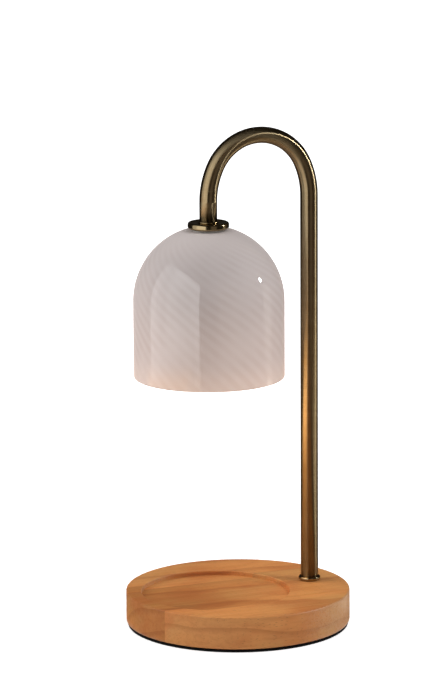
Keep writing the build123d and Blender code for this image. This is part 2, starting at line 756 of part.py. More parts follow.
bowl_slope = (bulb_radius - bulb_neck_radius) / reflector_height
with BuildPart() as bulb_reflector:
    # Neck, bulging bowl and straight rim: the outside, then the inside cut away from it
    with BuildSketch(shade_plane):
        for wall, mode in ((0, Mode.ADD), (bulb_wall, Mode.SUBTRACT)):
            neck = bulb_neck_radius - wall
            rim = bulb_radius - wall
            with BuildLine():
                Polyline((0, bulb_neck_top), (neck, bulb_neck_top), (neck, bulb_base_bottom))
                ThreePointArc(
                    (neck, bulb_base_bottom),
                    (
                        (neck + rim) / 2 + reflector_bulge,
                        (bulb_base_bottom + bulb_rim_top) / 2 + reflector_bulge * bowl_slope,
                    ),
                    (rim, bulb_rim_top),
                )
                Polyline((rim, bulb_rim_top), (rim, bulb_front), (0, bulb_front), (0, bulb_neck_top))
            make_face(mode=mode)
    revolve(axis=shade_axis)
bulb_reflector.part.label = "bulb_reflector"
export_step(bulb_reflector.part, "parts/bulb_reflector.step")

with BuildPart() as bulb_lens:
    with BuildSketch(Plane.XY.offset(bulb_front + lens_inset)):
        with Locations((shade_x, 0)):
            Circle(bulb_radius - bulb_wall - slip)
    extrude(amount=lens_thickness)
bulb_lens.part.label = "bulb_lens"
export_step(bulb_lens.part, "parts/bulb_lens.step")

with BuildPart() as bulb_capsule:
    # A tube with a domed end, open at the top for its wires
    with BuildSketch(shade_plane):
        for radius, mode in ((capsule_radius, Mode.ADD), (capsule_bore, Mode.SUBTRACT)):
            tip = capsule_top - capsule_length + capsule_radius
            with BuildLine():
                Polyline((0, tip - radius), (0, capsule_top), (radius, capsule_top), (radius, tip))
                CenterArc((0, tip), radius, -90, 90)
            make_face(mode=mode)
    revolve(axis=shade_axis)
bulb_capsule.part.label = "bulb_capsule"
export_step(bulb_capsule.part, "parts/bulb_capsule.step")

with BuildPart() as capsule_cement:
    with BuildSketch(Plane.XY.offset(capsule_top - cement_height)):
        with Locations((shade_x, 0)):
            Circle(bulb_neck_radius - bulb_wall - slip)
            Circle(capsule_radius + slip, mode=Mode.SUBTRACT)
    extrude(amount=cement_height)
capsule_cement.part.label = "capsule_cement"
export_step(capsule_cement.part, "parts/capsule_cement.step")

wire_top = bulb_top - pin_embed
wire_knee = (wire_top + capsule_top) / 2
with BuildPart() as bulb_wires:
    # From each pin's foot inwards and down into the capsule, to the filament's end
    for side in (-1, 1):
        with BuildLine(pin_plane) as wire_route:
            FilletPolyline(
                (side * pin_radius, wire_top),
                (side * pin_radius, wire_knee + bulb_wire_bend),
                (side * bulb_wire_y, wire_knee - bulb_wire_bend),
                (side * bulb_wire_y, filament_z - bulb_wire_diameter / 2),
                radius=bulb_wire_bend,
            )
        with BuildSketch(Plane(origin=(shade_x, side * pin_radius, wire_top), z_dir=(0, 0, -1))):
            Circle(bulb_wire_diameter / 2)
        sweep(path=wire_route.wire())
bulb_wires.part.label = "bulb_wires"
export_step(bulb_wires.part, "parts/bulb_wires.step")

filament_length = 2 * (bulb_wire_y - bulb_wire_diameter / 2 - slip)
with BuildPart() as bulb_filament:
    with BuildSketch(Plane(origin=(shade_x, filament_length / 2, filament_z), z_dir=(0, -1, 0))):
        Circle(filament_diameter / 2)
    extrude(amount=filament_length)
bulb_filament.part.label = "bulb_filament"
export_step(bulb_filament.part, "parts/bulb_filament.step")
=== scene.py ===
"""Dresses the candle warmer lamp: its turned, bent and blown pieces, their finishes, and the studio round it.

Lengths are metres in the frame's own axes. The lamp stands on z = 0 with its arm in the XZ plane: the post
rises at +X and the shade hangs at -X over the candle's recess.
"""
import logging
import math
from abc import ABC, abstractmethod
from collections.abc import Iterable, Mapping, Sequence
from dataclasses import dataclass, field
from enum import Enum
from typing import Any

import bmesh
import bpy
from mathutils import Matrix, Vector


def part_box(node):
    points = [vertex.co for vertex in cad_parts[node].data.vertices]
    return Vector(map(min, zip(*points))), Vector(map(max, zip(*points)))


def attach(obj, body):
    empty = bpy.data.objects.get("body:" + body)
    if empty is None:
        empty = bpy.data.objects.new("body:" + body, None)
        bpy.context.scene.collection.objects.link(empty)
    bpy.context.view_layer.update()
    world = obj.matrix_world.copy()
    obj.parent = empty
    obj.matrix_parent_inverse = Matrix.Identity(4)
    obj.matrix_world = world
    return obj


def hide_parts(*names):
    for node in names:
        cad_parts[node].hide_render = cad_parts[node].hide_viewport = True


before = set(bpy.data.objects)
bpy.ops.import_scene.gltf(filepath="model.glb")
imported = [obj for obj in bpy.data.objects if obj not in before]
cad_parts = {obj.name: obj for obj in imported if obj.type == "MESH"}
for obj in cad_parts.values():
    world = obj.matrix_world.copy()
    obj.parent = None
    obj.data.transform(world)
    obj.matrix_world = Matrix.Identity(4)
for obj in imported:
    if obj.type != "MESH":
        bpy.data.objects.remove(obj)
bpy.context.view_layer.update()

# Lengths and angles that differ by less than this count as equal.
SAME = 1e-6

Colour = tuple[float, float, float]
Scale = tuple[float, float, float]

LOG = logging.getLogger("candle_warmer_lamp")


class Body(Enum):
    """The bodies that pieces ride on."""

    LAMP = "lamp"
    BULB = "bulb"


class Slot(Enum):
    """Names of the record's material slots; new pieces are handed one, which nothing reads."""

    GROMMET = "grommet"
    TUBE = "antique_brass_tube"
    RING = "antique_brass_ring"
    OPAL = "opal_glass"
    STEEL = "zinc_steel"
    MIRROR = "reflector"
    GLASS = "clear_glass"
    FILAMENT = "filament"


# ---------------------------------------------------------------- shapes


@dataclass(frozen=True)
class Extent:
    """A node's box at rest.

    Args:
        low: Its lowest corner.
        high: Its highest corner.
    """

    low: Vector
    high: Vector

    @classmethod
    def of(cls, node: str) -> "Extent":
        """Returns the box of a node of the frame."""
        low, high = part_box(node)
        return cls(Vector(low), Vector(high))

    @property
    def middle(self) -> Vector:
        """The box's centre."""
        return (self.low + self.high) / 2

    @property
    def radius(self) -> float:
        """Half the box's width along X, which is an upright round piece's radius."""
        return (self.high.x - self.low.x) / 2


class Outline:
    """The half section of a turned piece, drawn as radius and height and then spun about an upright axis."""

    def __init__(self, axis_x: float, radius: float, height: float) -> None:
        """Starts the outline.

        Args:
            axis_x: Where the turning axis stands.
            radius: The first point's distance from the axis.
            height: The first point's height.
        """
        self.shape = bmesh.new()
        self.axis_x = axis_x
        self.first = self.tip = self.shape.verts.new((axis_x + radius, 0, height))

    def line(self, radius: float, height: float) -> "Outline":
        """Draws a straight line to a point.

        Args:
            radius: The point's distance from the axis.
            height: The point's height.

        Returns:
            This outline.
        """
        self.tip = bmesh.ops.extrude_vert_indiv(self.shape, verts=[self.tip])["verts"][0]
        self.tip.co = (self.axis_x + radius, 0, height)
        return self

    def arc(self, radius: float, height: float, turn: float, steps: int) -> "Outline":
        """Swings the tip about a centre.

        Args:
            radius: The centre's distance from the axis.
            height: The centre's height.
            turn: Degrees to swing, from outwards towards up where positive.
            steps: Number of edges drawn.

        Returns:
            This outline.
        """
        swung = bmesh.ops.spin(
            self.shape, geom=[self.tip], cent=(self.axis_x + radius, 0, height), axis=(0, -1, 0),
            dvec=(0, 0, 0), angle=math.radians(turn), steps=steps, use_merge=False, use_duplicate=False,
        )
        self.tip = swung["geom_last"][0]
        return self

    def bow(self, middle: tuple[float, float], end: tuple[float, float], steps: int) -> "Outline":
        """Draws the arc that passes through a middle point on its way to its end.

        Args:
            middle: Radius and height of a point on the way.
            end: Radius and height of the arc's end.
            steps: Number of edges drawn.

        Returns:
            This outline.
        """
        start = Vector((self.tip.co.x - self.axis_x, self.tip.co.z))
        to_middle = Vector(middle) - start
        to_end = Vector(end) - start
        cross = 2 * to_middle.cross(to_end)
        offset = Vector((
            to_end.y * to_middle.length_squared - to_middle.y * to_end.length_squared,
            to_middle.x * to_end.length_squared - to_end.x * to_middle.length_squared,
        )) / cross
        centre = start + offset
        turn = math.degrees((-offset).angle_signed(Vector(end) - centre))
        way = 1 if cross > 0 else -1
        turn = way * (abs(turn) if way * -turn > 0 else 360 - abs(turn))
        return self.arc(centre.x, centre.y, turn, steps)

    def close(self) -> "Outline":
        """Joins the tip to the first point."""
        self.shape.edges.new((self.tip, self.first))
        return self

    def turn(self, steps: int) -> bmesh.types.BMesh:
        """Spins the outline all the way round.

        Args:
            steps: Number of faces round the piece.

        Returns:
            The turned shape, with its faces outwards.
        """
        bmesh.ops.spin(
            self.shape, geom=self.shape.verts[:] + self.shape.edges[:], cent=(self.axis_x, 0, 0),
            axis=(0, 0, 1), dvec=(0, 0, 0), angle=math.tau, steps=steps, use_merge=True, use_duplicate=False,
        )
        bmesh.ops.remove_doubles(self.shape, verts=self.shape.verts, dist=SAME)
        bmesh.ops.recalc_face_normals(self.shape, faces=self.shape.faces)
        return self.shape


# ---------------------------------------------------------------- nodes


class NodeSketch:
    """Adds the nodes of one node tree and joins them."""

    # Numbers of the Mix node's sockets for colours, which share their names with its other sockets.
    SHARE, FIRST, SECOND, MIXED = 0, 6, 7, 2

    def __init__(self, tree: bpy.types.NodeTree) -> None:
        """Works on a tree.

        Args:
            tree: The material's, world's or group's node tree.
        """
        self.tree = tree

    def add(self, kind: str, inputs: Mapping[Any, Any] | None = None, **settings: Any) -> bpy.types.Node:
        """Adds a node.

        Args:
            kind: The node's Blender type.
            inputs: Values or sockets for its inputs, by name or number.
            **settings: The node's own properties.

        Returns:
            The node.
        """
        node = self.tree.nodes.new(kind)
        for name, value in settings.items():
            setattr(node, name, value)
        self.feed(node, inputs or {})
        return node

    def feed(self, node: bpy.types.Node, inputs: Mapping[Any, Any]) -> None:
        """Sets or links a node's inputs.

        Args:
            node: The node.
            inputs: Values or sockets for its inputs, by name or number.
        """
        for name, value in inputs.items():
            if isinstance(value, bpy.types.NodeSocket):
                self.tree.links.new(value, node.inputs[name])
            else:
                node.inputs[name].default_value = value

    def maths(self, operation: str, *values: Any, clamp: bool = False) -> bpy.types.NodeSocket:
        """Adds a Math node.

        Args:
            operation: Its operation.
            *values: Numbers or sockets for its inputs.
            clamp: Whether its result stays between 0 and 1.

        Returns:
            Its result.
        """
        inputs = dict(enumerate(values))
        return self.add("ShaderNodeMath", inputs, operation=operation, use_clamp=clamp).outputs[0]

    def spread(self, value: Any, low: float, high: float, to_low: float = 0.0, to_high: float = 1.0) -> Any:
        """Maps a range of values smoothly onto another, held at its ends.

        Args:
            value: The socket to map.
            low: The value that becomes to_low.
            high: The value that becomes to_high.
            to_low: Result at low.
            to_high: Result at high.

        Returns:
            The mapped value's socket.
        """
        inputs = {"Value": value, "From Min": low, "From Max": high, "To Min": to_low, "To Max": to_high}
        return self.add("ShaderNodeMapRange", inputs, interpolation_type="SMOOTHSTEP").outputs["Result"]

    def blend(self, share: Any, first: Any, second: Any, how: str = "MIX") -> bpy.types.NodeSocket:
        """Mixes two colours.

        Args:
            share: Share of the second colour.
            first: Colour or socket.
            second: Colour or socket.
            how: The Mix node's blend type.

        Returns:
            The mixed colour's socket.
        """
        node = self.add("ShaderNodeMix", data_type="RGBA", blend_type=how)
        colours = [(*value, 1.0) if isinstance(value, tuple) else value for value in (first, second)]
        self.feed(node, {self.SHARE: share, self.FIRST: colours[0], self.SECOND: colours[1]})
        return node.outputs[self.MIXED]

    def noise(self, where: Any, scale: float, detail: float = 3.0, roughness: float = 0.5) -> Any:
        """Adds a noise texture.

        Args:
            where: Socket of its coordinates.
            scale: Its scale, per metre.
            detail: Number of octaves.
            roughness: How strong the fine octaves are.

        Returns:
            Its value's socket, centred on 0.5.
        """
        inputs = {"Vector": where, "Scale": scale, "Detail": detail, "Roughness": roughness}
        return self.add("ShaderNodeTexNoise", inputs).outputs["Fac"]

    def stretch(self, where: Any, scale: Sequence[float], turn: Sequence[float] = (0, 0, 0)) -> Any:
        """Stretches and turns coordinates.

        Args:
            where: Socket of the coordinates.
            scale: Scale along each axis.
            turn: Rotation about each axis, in radians.

        Returns:
            The new coordinates' socket.
        """
        inputs = {"Vector": where, "Scale": scale, "Rotation": turn}
        return self.add("ShaderNodeMapping", inputs).outputs[0]

    def place(self) -> bpy.types.NodeSocket:
        """Returns the socket of the piece's own coordinates."""
        return self.add("ShaderNodeTexCoord").outputs["Object"]

    def bump(self, surface: bpy.types.Node, height: Any, strength: float, depth: float) -> None:
        """Gives a surface relief.

        Args:
            surface: The Principled node.
            height: Socket of the relief's height.
            strength: Share of the relief that shows.
            depth: Height in metres that a value of 1 stands for.
        """
        bump = self.add("ShaderNodeBump", {"Strength": strength, "Distance": depth, "Height": height})
        self.feed(surface, {"Normal": bump.outputs[0]})


class Effect(ABC):
    """A node group that more than one finish uses, built once."""

    title: str
    takes: tuple[tuple[str, str, Any], ...]
    gives: tuple[tuple[str, str], ...]

    def group(self) -> bpy.types.NodeTree:
        """Builds the group the first time that it is asked for.

        Returns:
            The group.
        """
        found = bpy.data.node_groups.get(self.title)
        if found is not None:
            return found
        made = bpy.data.node_groups.new(self.title, "ShaderNodeTree")
        for name, kind, value in self.takes:
            socket = made.interface.new_socket(name, in_out="INPUT", socket_type=kind)
            if value is not None:
                socket.default_value = value
        for name, kind in self.gives:
            made.interface.new_socket(name, in_out="OUTPUT", socket_type=kind)
        sketch = NodeSketch(made)
        source = sketch.add("NodeGroupInput")
        sketch.feed(sketch.add("NodeGroupOutput"), self.build(sketch, source.outputs))
        return made

    def use(self, sketch: NodeSketch, inputs: Mapping[str, Any]) -> Any:
        """Places the group in a material.

        Args:
            sketch: The material's sketch.
            inputs: Values or sockets for the group's inputs.

        Returns:
            The group node's outputs.
        """
        return sketch.add("ShaderNodeGroup", inputs, node_tree=self.group()).outputs

    @abstractmethod
    def build(self, sketch: NodeSketch, given: Any) -> dict[str, Any]:
        """Builds the group's nodes.

        Args:
            sketch: The group's sketch.
            given: The group input's sockets.

        Returns:
            The socket for each output.
        """


class Tarnish(Effect):
    """Cloudy darkening of old metal, and the fine dust that dulls a surface.

    The dust is dust_scale times as fine as the clouds.
    """

    title = "tarnish"
    takes = (("Vector", "NodeSocketVector", None), ("Scale", "NodeSocketFloat", 60.0))
    gives = (("Cloud", "NodeSocketFloat"), ("Dust", "NodeSocketFloat"))
    dust_scale: float = 14.0

    def build(self, sketch: NodeSketch, given: Any) -> dict[str, Any]:
        """Mixes a broad noise with a fine one.

        Args:
            sketch: The group's sketch.
            given: The group input's sockets.

        Returns:
            The socket for each output.
        """
        broad = sketch.noise(given["Vector"], 1.0, 4.0, 0.6)
        fine = sketch.noise(given["Vector"], 1.0, 2.0, 0.5)
        sketch.feed(broad.node, {"Scale": given["Scale"]})
        sketch.feed(fine.node, {"Scale": sketch.maths("MULTIPLY", given["Scale"], self.dust_scale)})
        return {"Cloud": sketch.spread(broad, 0.3, 0.7), "Dust": sketch.spread(fine, 0.35, 0.75)}


class Brushing(Effect):
    """Fine parallel scratches left by a brush or a lathe tool."""

    title = "brushing"
    takes = (
        ("Vector", "NodeSocketVector", None),
        ("Along", "NodeSocketVector", (1.0, 1.0, 0.02)),
        ("Scale", "NodeSocketFloat", 4000.0),
    )
    gives = (("Lines", "NodeSocketFloat"),)

    def build(self, sketch: NodeSketch, given: Any) -> dict[str, Any]:
        """Stretches a noise along the scratches.

        Args:
            sketch: The group's sketch.
            given: The group input's sockets.

        Returns:
            The socket for each output.
        """
        inputs = {0: given["Vector"], 1: given["Along"]}
        scaled = sketch.add("ShaderNodeVectorMath", inputs, operation="MULTIPLY")
        lines = sketch.noise(scaled.outputs[0], 1.0, 2.0, 0.6)
        sketch.feed(lines.node, {"Scale": given["Scale"]})
        return {"Lines": sketch.spread(lines, 0.25, 0.75)}


class Speckle(Effect):
    """Scattered small dots, as pores or grit.

    The share of the pattern's cells that dropped gives stays empty.
    """

    title = "speckle"
    takes = (
        ("Vector", "NodeSocketVector", None),
        ("Scale", "NodeSocketFloat", 900.0),
        ("Size", "NodeSocketFloat", 0.25),
    )
    gives = (("Dots", "NodeSocketFloat"),)
    dropped: float = 0.55

    def build(self, sketch: NodeSketch, given: Any) -> dict[str, Any]:
        """Keeps the middles of a Voronoi pattern's cells, and drops some of them.

        Args:
            sketch: The group's sketch.
            given: The group input's sockets.

        Returns:
            The socket for each output.
        """
        inputs = {"Vector": given["Vector"], "Scale": given["Scale"]}
        cells = sketch.add("ShaderNodeTexVoronoi", inputs)
        away = sketch.maths("DIVIDE", cells.outputs["Distance"], given["Size"])
        near = sketch.maths("SUBTRACT", 1.0, away, clamp=True)
        lot = sketch.add("ShaderNodeSeparateColor", {0: cells.outputs["Color"]}).outputs[0]
        kept = sketch.maths("GREATER_THAN", lot, self.dropped)
        return {"Dots": sketch.maths("MULTIPLY", near, kept)}


# ---------------------------------------------------------------- finishes


class Finish(ABC):
    """A finish: one material, mixed the first time that it is asked for."""

    title: str

    def material(self) -> bpy.types.Material:
        """Mixes the material the first time that it is asked for.

        Returns:
            The material.
        """
        found = bpy.data.materials.get(self.title)
        if found is not None:
            return found
        made = bpy.data.materials.new(self.title)
        made.use_nodes = True
        sketch = NodeSketch(made.node_tree)
        self.mix(sketch, made.node_tree.nodes["Principled BSDF"])
        return made

    @abstractmethod
    def mix(self, sketch: NodeSketch, surface: bpy.types.Node) -> None:
        """Mixes the material.

        Args:
            sketch: The material's sketch.
            surface: Its Principled node.
        """


@dataclass(frozen=True)
class OiledBeech(Finish):
    """Glued-up planks of light wood, sanded and oiled, with the grain along X.

    Args:
        title: The material's name.
        early: Colour of the broad, light part of each year's growth.
        golden: Colour of its paler, greener patches.
        rosy: Colour of its redder blotches.
        late: Colour of the year's narrow, dark edge.
        pore: Colour of the pores.
        painted_shadow_tint: Tint of the painted shadow over the middle plank towards -X.
        painted_shadow_end: Where along X the painted shadow starts to fade, and where it has faded.
        end_grain_and_sheen: Pale grit between pores on faces towards +X: end grain, plus a painted sheen.
        joints: Where each glue line runs, along Y.
        ring_spacing: Distance between the dark lines.
        ring_start: Distance from the pith to one of them.
        pith: Where the tree's middle lay, along Y and Z.
        lean: Height that the grain gains along its length.
        sway: How far the rings stray from their round course.
        sway_scale: Scale of that straying along each axis, per metre.
        plank_shift: How far each plank's figure lies from its neighbour's, along X and Z.
        fibre_scale: Scale of the fibres.
        blotch_scale: Scale of the redder blotches.
        patch_scale: Scale of the golden patches.
        pore_stretch: Scale of the pores along the grain, which draws them out.
        pore_scale: Number of pores per metre.
        pore_size: Size of a pore, as a share of its cell.
        grit_scale: Scale of the end grain's grit.
        late_share: How strongly the dark lines show.
        painted_shadow_share: How strongly the painted shadow shows.
        pore_share: How strongly the pores show.
    """

    title: str = "oiled_beech"
    early: Colour = (0.700, 0.290, 0.084)
    golden: Colour = (0.620, 0.300, 0.094)
    rosy: Colour = (0.600, 0.206, 0.056)
    late: Colour = (0.370, 0.104, 0.026)
    pore: Colour = (0.190, 0.070, 0.026)
    painted_shadow_tint: Colour = (0.66, 0.58, 0.50)
    painted_shadow_end: tuple[float, float] = (-0.045, 0.035)
    end_grain_and_sheen: Colour = (0.640, 0.360, 0.185)
    joints: tuple[float, ...] = (-0.0344, 0.030)
    ring_spacing: float = 0.0145
    ring_start: float = 0.1036
    pith: tuple[float, float] = (-0.060, -0.090)
    lean: float = 0.05
    sway: float = 0.016
    sway_scale: Scale = (13.0, 16.0, 16.0)
    plank_shift: tuple[float, float] = (0.31, 0.047)
    fibre_scale: Scale = (16.0, 420.0, 420.0)
    blotch_scale: Scale = (24.0, 52.0, 52.0)
    patch_scale: Scale = (10.0, 22.0, 40.0)
    pore_stretch: float = 0.20
    pore_scale: float = 1250.0
    pore_size: float = 0.34
    grit_scale: float = 900.0
    late_share: float = 0.42
    painted_shadow_share: float = 0.85
    pore_share: float = 0.62

    def mix(self, sketch: NodeSketch, surface: bpy.types.Node) -> None:
        """Layers planks, blotches, growth rings, fibres and pores, a painted shadow, and pale end grain with
        painted sheen.

        Args:
            sketch: The material's sketch.
            surface: Its Principled node.
        """
        place = sketch.place()
        axes = sketch.add("ShaderNodeSeparateXYZ", {0: place}).outputs
        plank = self.plank_number(sketch, axes["Y"])
        along, up = (sketch.maths("MULTIPLY", plank, part) for part in self.plank_shift)
        shift = sketch.add("ShaderNodeCombineXYZ", {"X": along, "Z": up}).outputs[0]
        own = sketch.add("ShaderNodeVectorMath", {0: place, 1: shift}, operation="ADD").outputs[0]
        fibres = sketch.noise(sketch.stretch(own, self.fibre_scale), 1.0, 3.0, 0.6)
        blotches = sketch.noise(sketch.stretch(own, self.blotch_scale), 1.0, 3.0, 0.55)
        patches = sketch.noise(sketch.stretch(own, self.patch_scale), 1.0, 2.0, 0.5)
        drawn_out = sketch.stretch(own, (self.pore_stretch, 1, 1))
        pore_inputs = {"Vector": drawn_out, "Scale": self.pore_scale, "Size": self.pore_size}
        pores = Speckle().use(sketch, pore_inputs)["Dots"]
        tone = sketch.blend(sketch.spread(patches, 0.40, 0.66, 0.0, 0.85), self.early, self.golden)
        tone = sketch.blend(sketch.spread(blotches, 0.42, 0.68, 0.0, 0.75), tone, self.rosy)
        tone = sketch.blend(sketch.spread(fibres, 0.38, 0.78, 0.0, 0.26), tone, self.late)
        lines = sketch.maths("MULTIPLY", self.growth(sketch, own), self.late_share)
        tone = sketch.blend(lines, tone, self.late)
        # Painted shadow: the middle plank darkens towards -X, where a candle in the recess would shade the
        # wood.
        middle = sketch.maths("COMPARE", plank, 1.0, 0.1)
        painted_shadow = sketch.maths("MULTIPLY", middle, sketch.spread(axes["X"], *self.painted_shadow_end, 1.0, 0.0))
        tone = sketch.blend(sketch.maths("MULTIPLY", painted_shadow, self.painted_shadow_share), tone, self.painted_shadow_tint, "MULTIPLY")
        # Partly painted sheen: pale grit on the faces towards +X only, mixed with the end grain's own tone.
        tone = sketch.blend(self.ends(sketch, place), tone, self.end_grain_and_sheen)
        tone = sketch.blend(sketch.maths("MULTIPLY", pores, self.pore_share), tone, self.pore)
        sketch.feed(surface, {
            "Base Color": tone,
            "Roughness": sketch.spread(fibres, 0.2, 0.8, 0.38, 0.52),
            "Specular IOR Level": 0.35,
        })
        relief = sketch.maths("SUBTRACT", sketch.maths("MULTIPLY", fibres, 0.5), pores)
        sketch.bump(surface, relief, 0.3, 0.0001)

    def plank_number(self, sketch: NodeSketch, across: Any) -> bpy.types.NodeSocket:
        """Counts the glue lines on one side of a point.

        Args:
            sketch: The material's sketch.
            across: Socket of the place across the grain.

        Returns:
            The plank's number, from 0.
        """
        count: Any = 0.0
        for joint in self.joints:
            count = sketch.maths("ADD", count, sketch.maths("GREATER_THAN", across, joint))
        return count

    def ends(self, sketch: NodeSketch, place: Any) -> bpy.types.NodeSocket:
        """Draws pale grit between the pores on faces towards +X: end grain, plus a painted sheen.

        Args:
            sketch: The material's sketch.
            place: Socket of the coordinates.

        Returns:
            The grit's share.
        """
        normal = sketch.add("ShaderNodeNewGeometry").outputs["Normal"]
        facing = sketch.add("ShaderNodeSeparateXYZ", {0: normal}).outputs["X"]
        grit = sketch.spread(sketch.noise(place, self.grit_scale, 2.0, 0.7), 0.35, 0.65, 0.25, 0.95)
        return sketch.maths("MULTIPLY", sketch.spread(facing, 0.1, 0.65), grit)

    def growth(self, sketch: NodeSketch, own: Any) -> bpy.types.NodeSocket:
        """Draws the dark late edge of each growth ring.

        Args:
            sketch: The material's sketch.
            own: Socket of the plank's own coordinates.

        Returns:
            A mask that is 1 on the dark lines.
        """
        waves = sketch.noise(sketch.stretch(own, self.sway_scale), 1.0, 2.0, 0.5)
        sway = sketch.maths("MULTIPLY", sketch.maths("SUBTRACT", waves, 0.5), self.sway)
        section = {0: sketch.stretch(own, (0.0, 1.0, 1.0)), 1: (0, *self.pith)}
        middle = sketch.add("ShaderNodeVectorMath", section, operation="DISTANCE").outputs["Value"]
        lean = sketch.maths("MULTIPLY", sketch.add("ShaderNodeSeparateXYZ", {0: own}).outputs["X"], self.lean)
        reach = sketch.maths("ADD", sketch.maths("ADD", middle, lean), sway)
        turns = sketch.maths("DIVIDE", sketch.maths("SUBTRACT", reach, self.ring_start), self.ring_spacing)
        phase = sketch.maths("FRACT", turns)
        return sketch.maths("ADD", sketch.spread(phase, 0.70, 1.0), sketch.spread(phase, 0.0, 0.05, 1.0, 0.0))


@dataclass(frozen=True)
class AntiqueBrass(Finish):
    """Plated brass, polished round and round, darkened and lacquered.

    Args:
        title: The material's name.
        bright: Colour where the plating is clean.
        dark: Colour where it is tarnished.
        roughness: Roughness of the lacquer.
        stretch: How far the polish draws highlights out along the piece.
        attribute: Name of the attribute that the scratches follow, or none for turned pieces.
        grain: Name of the map whose first axis highlights are drawn out along.
        cloud_scale: Scale of the tarnish.
        scratch_scale: Scale of the scratches.
    """

    title: str
    bright: Colour = (0.335, 0.262, 0.152)
    dark: Colour = (0.262, 0.196, 0.106)
    roughness: float = 0.13
    stretch: float = 0.0
    attribute: str | None = None
    grain: str = ""
    cloud_scale: float = 70.0
    scratch_scale: float = 2600.0

    def mix(self, sketch: NodeSketch, surface: bpy.types.Node) -> None:
        """Mixes tarnish and polishing marks into dark yellow metal.

        Args:
            sketch: The material's sketch.
            surface: Its Principled node.
        """
        place = sketch.place()
        clouds = Tarnish().use(sketch, {"Vector": place, "Scale": self.cloud_scale})
        path: Any = place
        if self.attribute:
            path = sketch.add("ShaderNodeAttribute", attribute_name=self.attribute).outputs["Vector"]
            tangent = sketch.add("ShaderNodeTangent", direction_type="UV_MAP", uv_map=self.grain)
            sketch.feed(surface, {"Anisotropic": self.stretch, "Tangent": tangent.outputs[0]})
        scratches = {"Vector": path, "Along": (0.03, 0.03, 1.0), "Scale": self.scratch_scale}
        lines = Brushing().use(sketch, scratches)["Lines"]
        cloud = sketch.maths("MULTIPLY", clouds["Cloud"], 0.6)
        worn = sketch.maths("ADD", cloud, sketch.maths("MULTIPLY", lines, 0.3))
        scored = sketch.spread(lines, 0.0, 1.0, self.roughness - 0.02, self.roughness + 0.02)
        rough = sketch.maths("ADD", scored, sketch.maths("MULTIPLY", clouds["Dust"], 0.02))
        sketch.feed(surface, {
            "Base Color": sketch.blend(worn, self.bright, self.dark),
            "Metallic": 1.0,
            "Roughness": rough,
        })
        sketch.bump(surface, lines, 0.01, 0.00002)


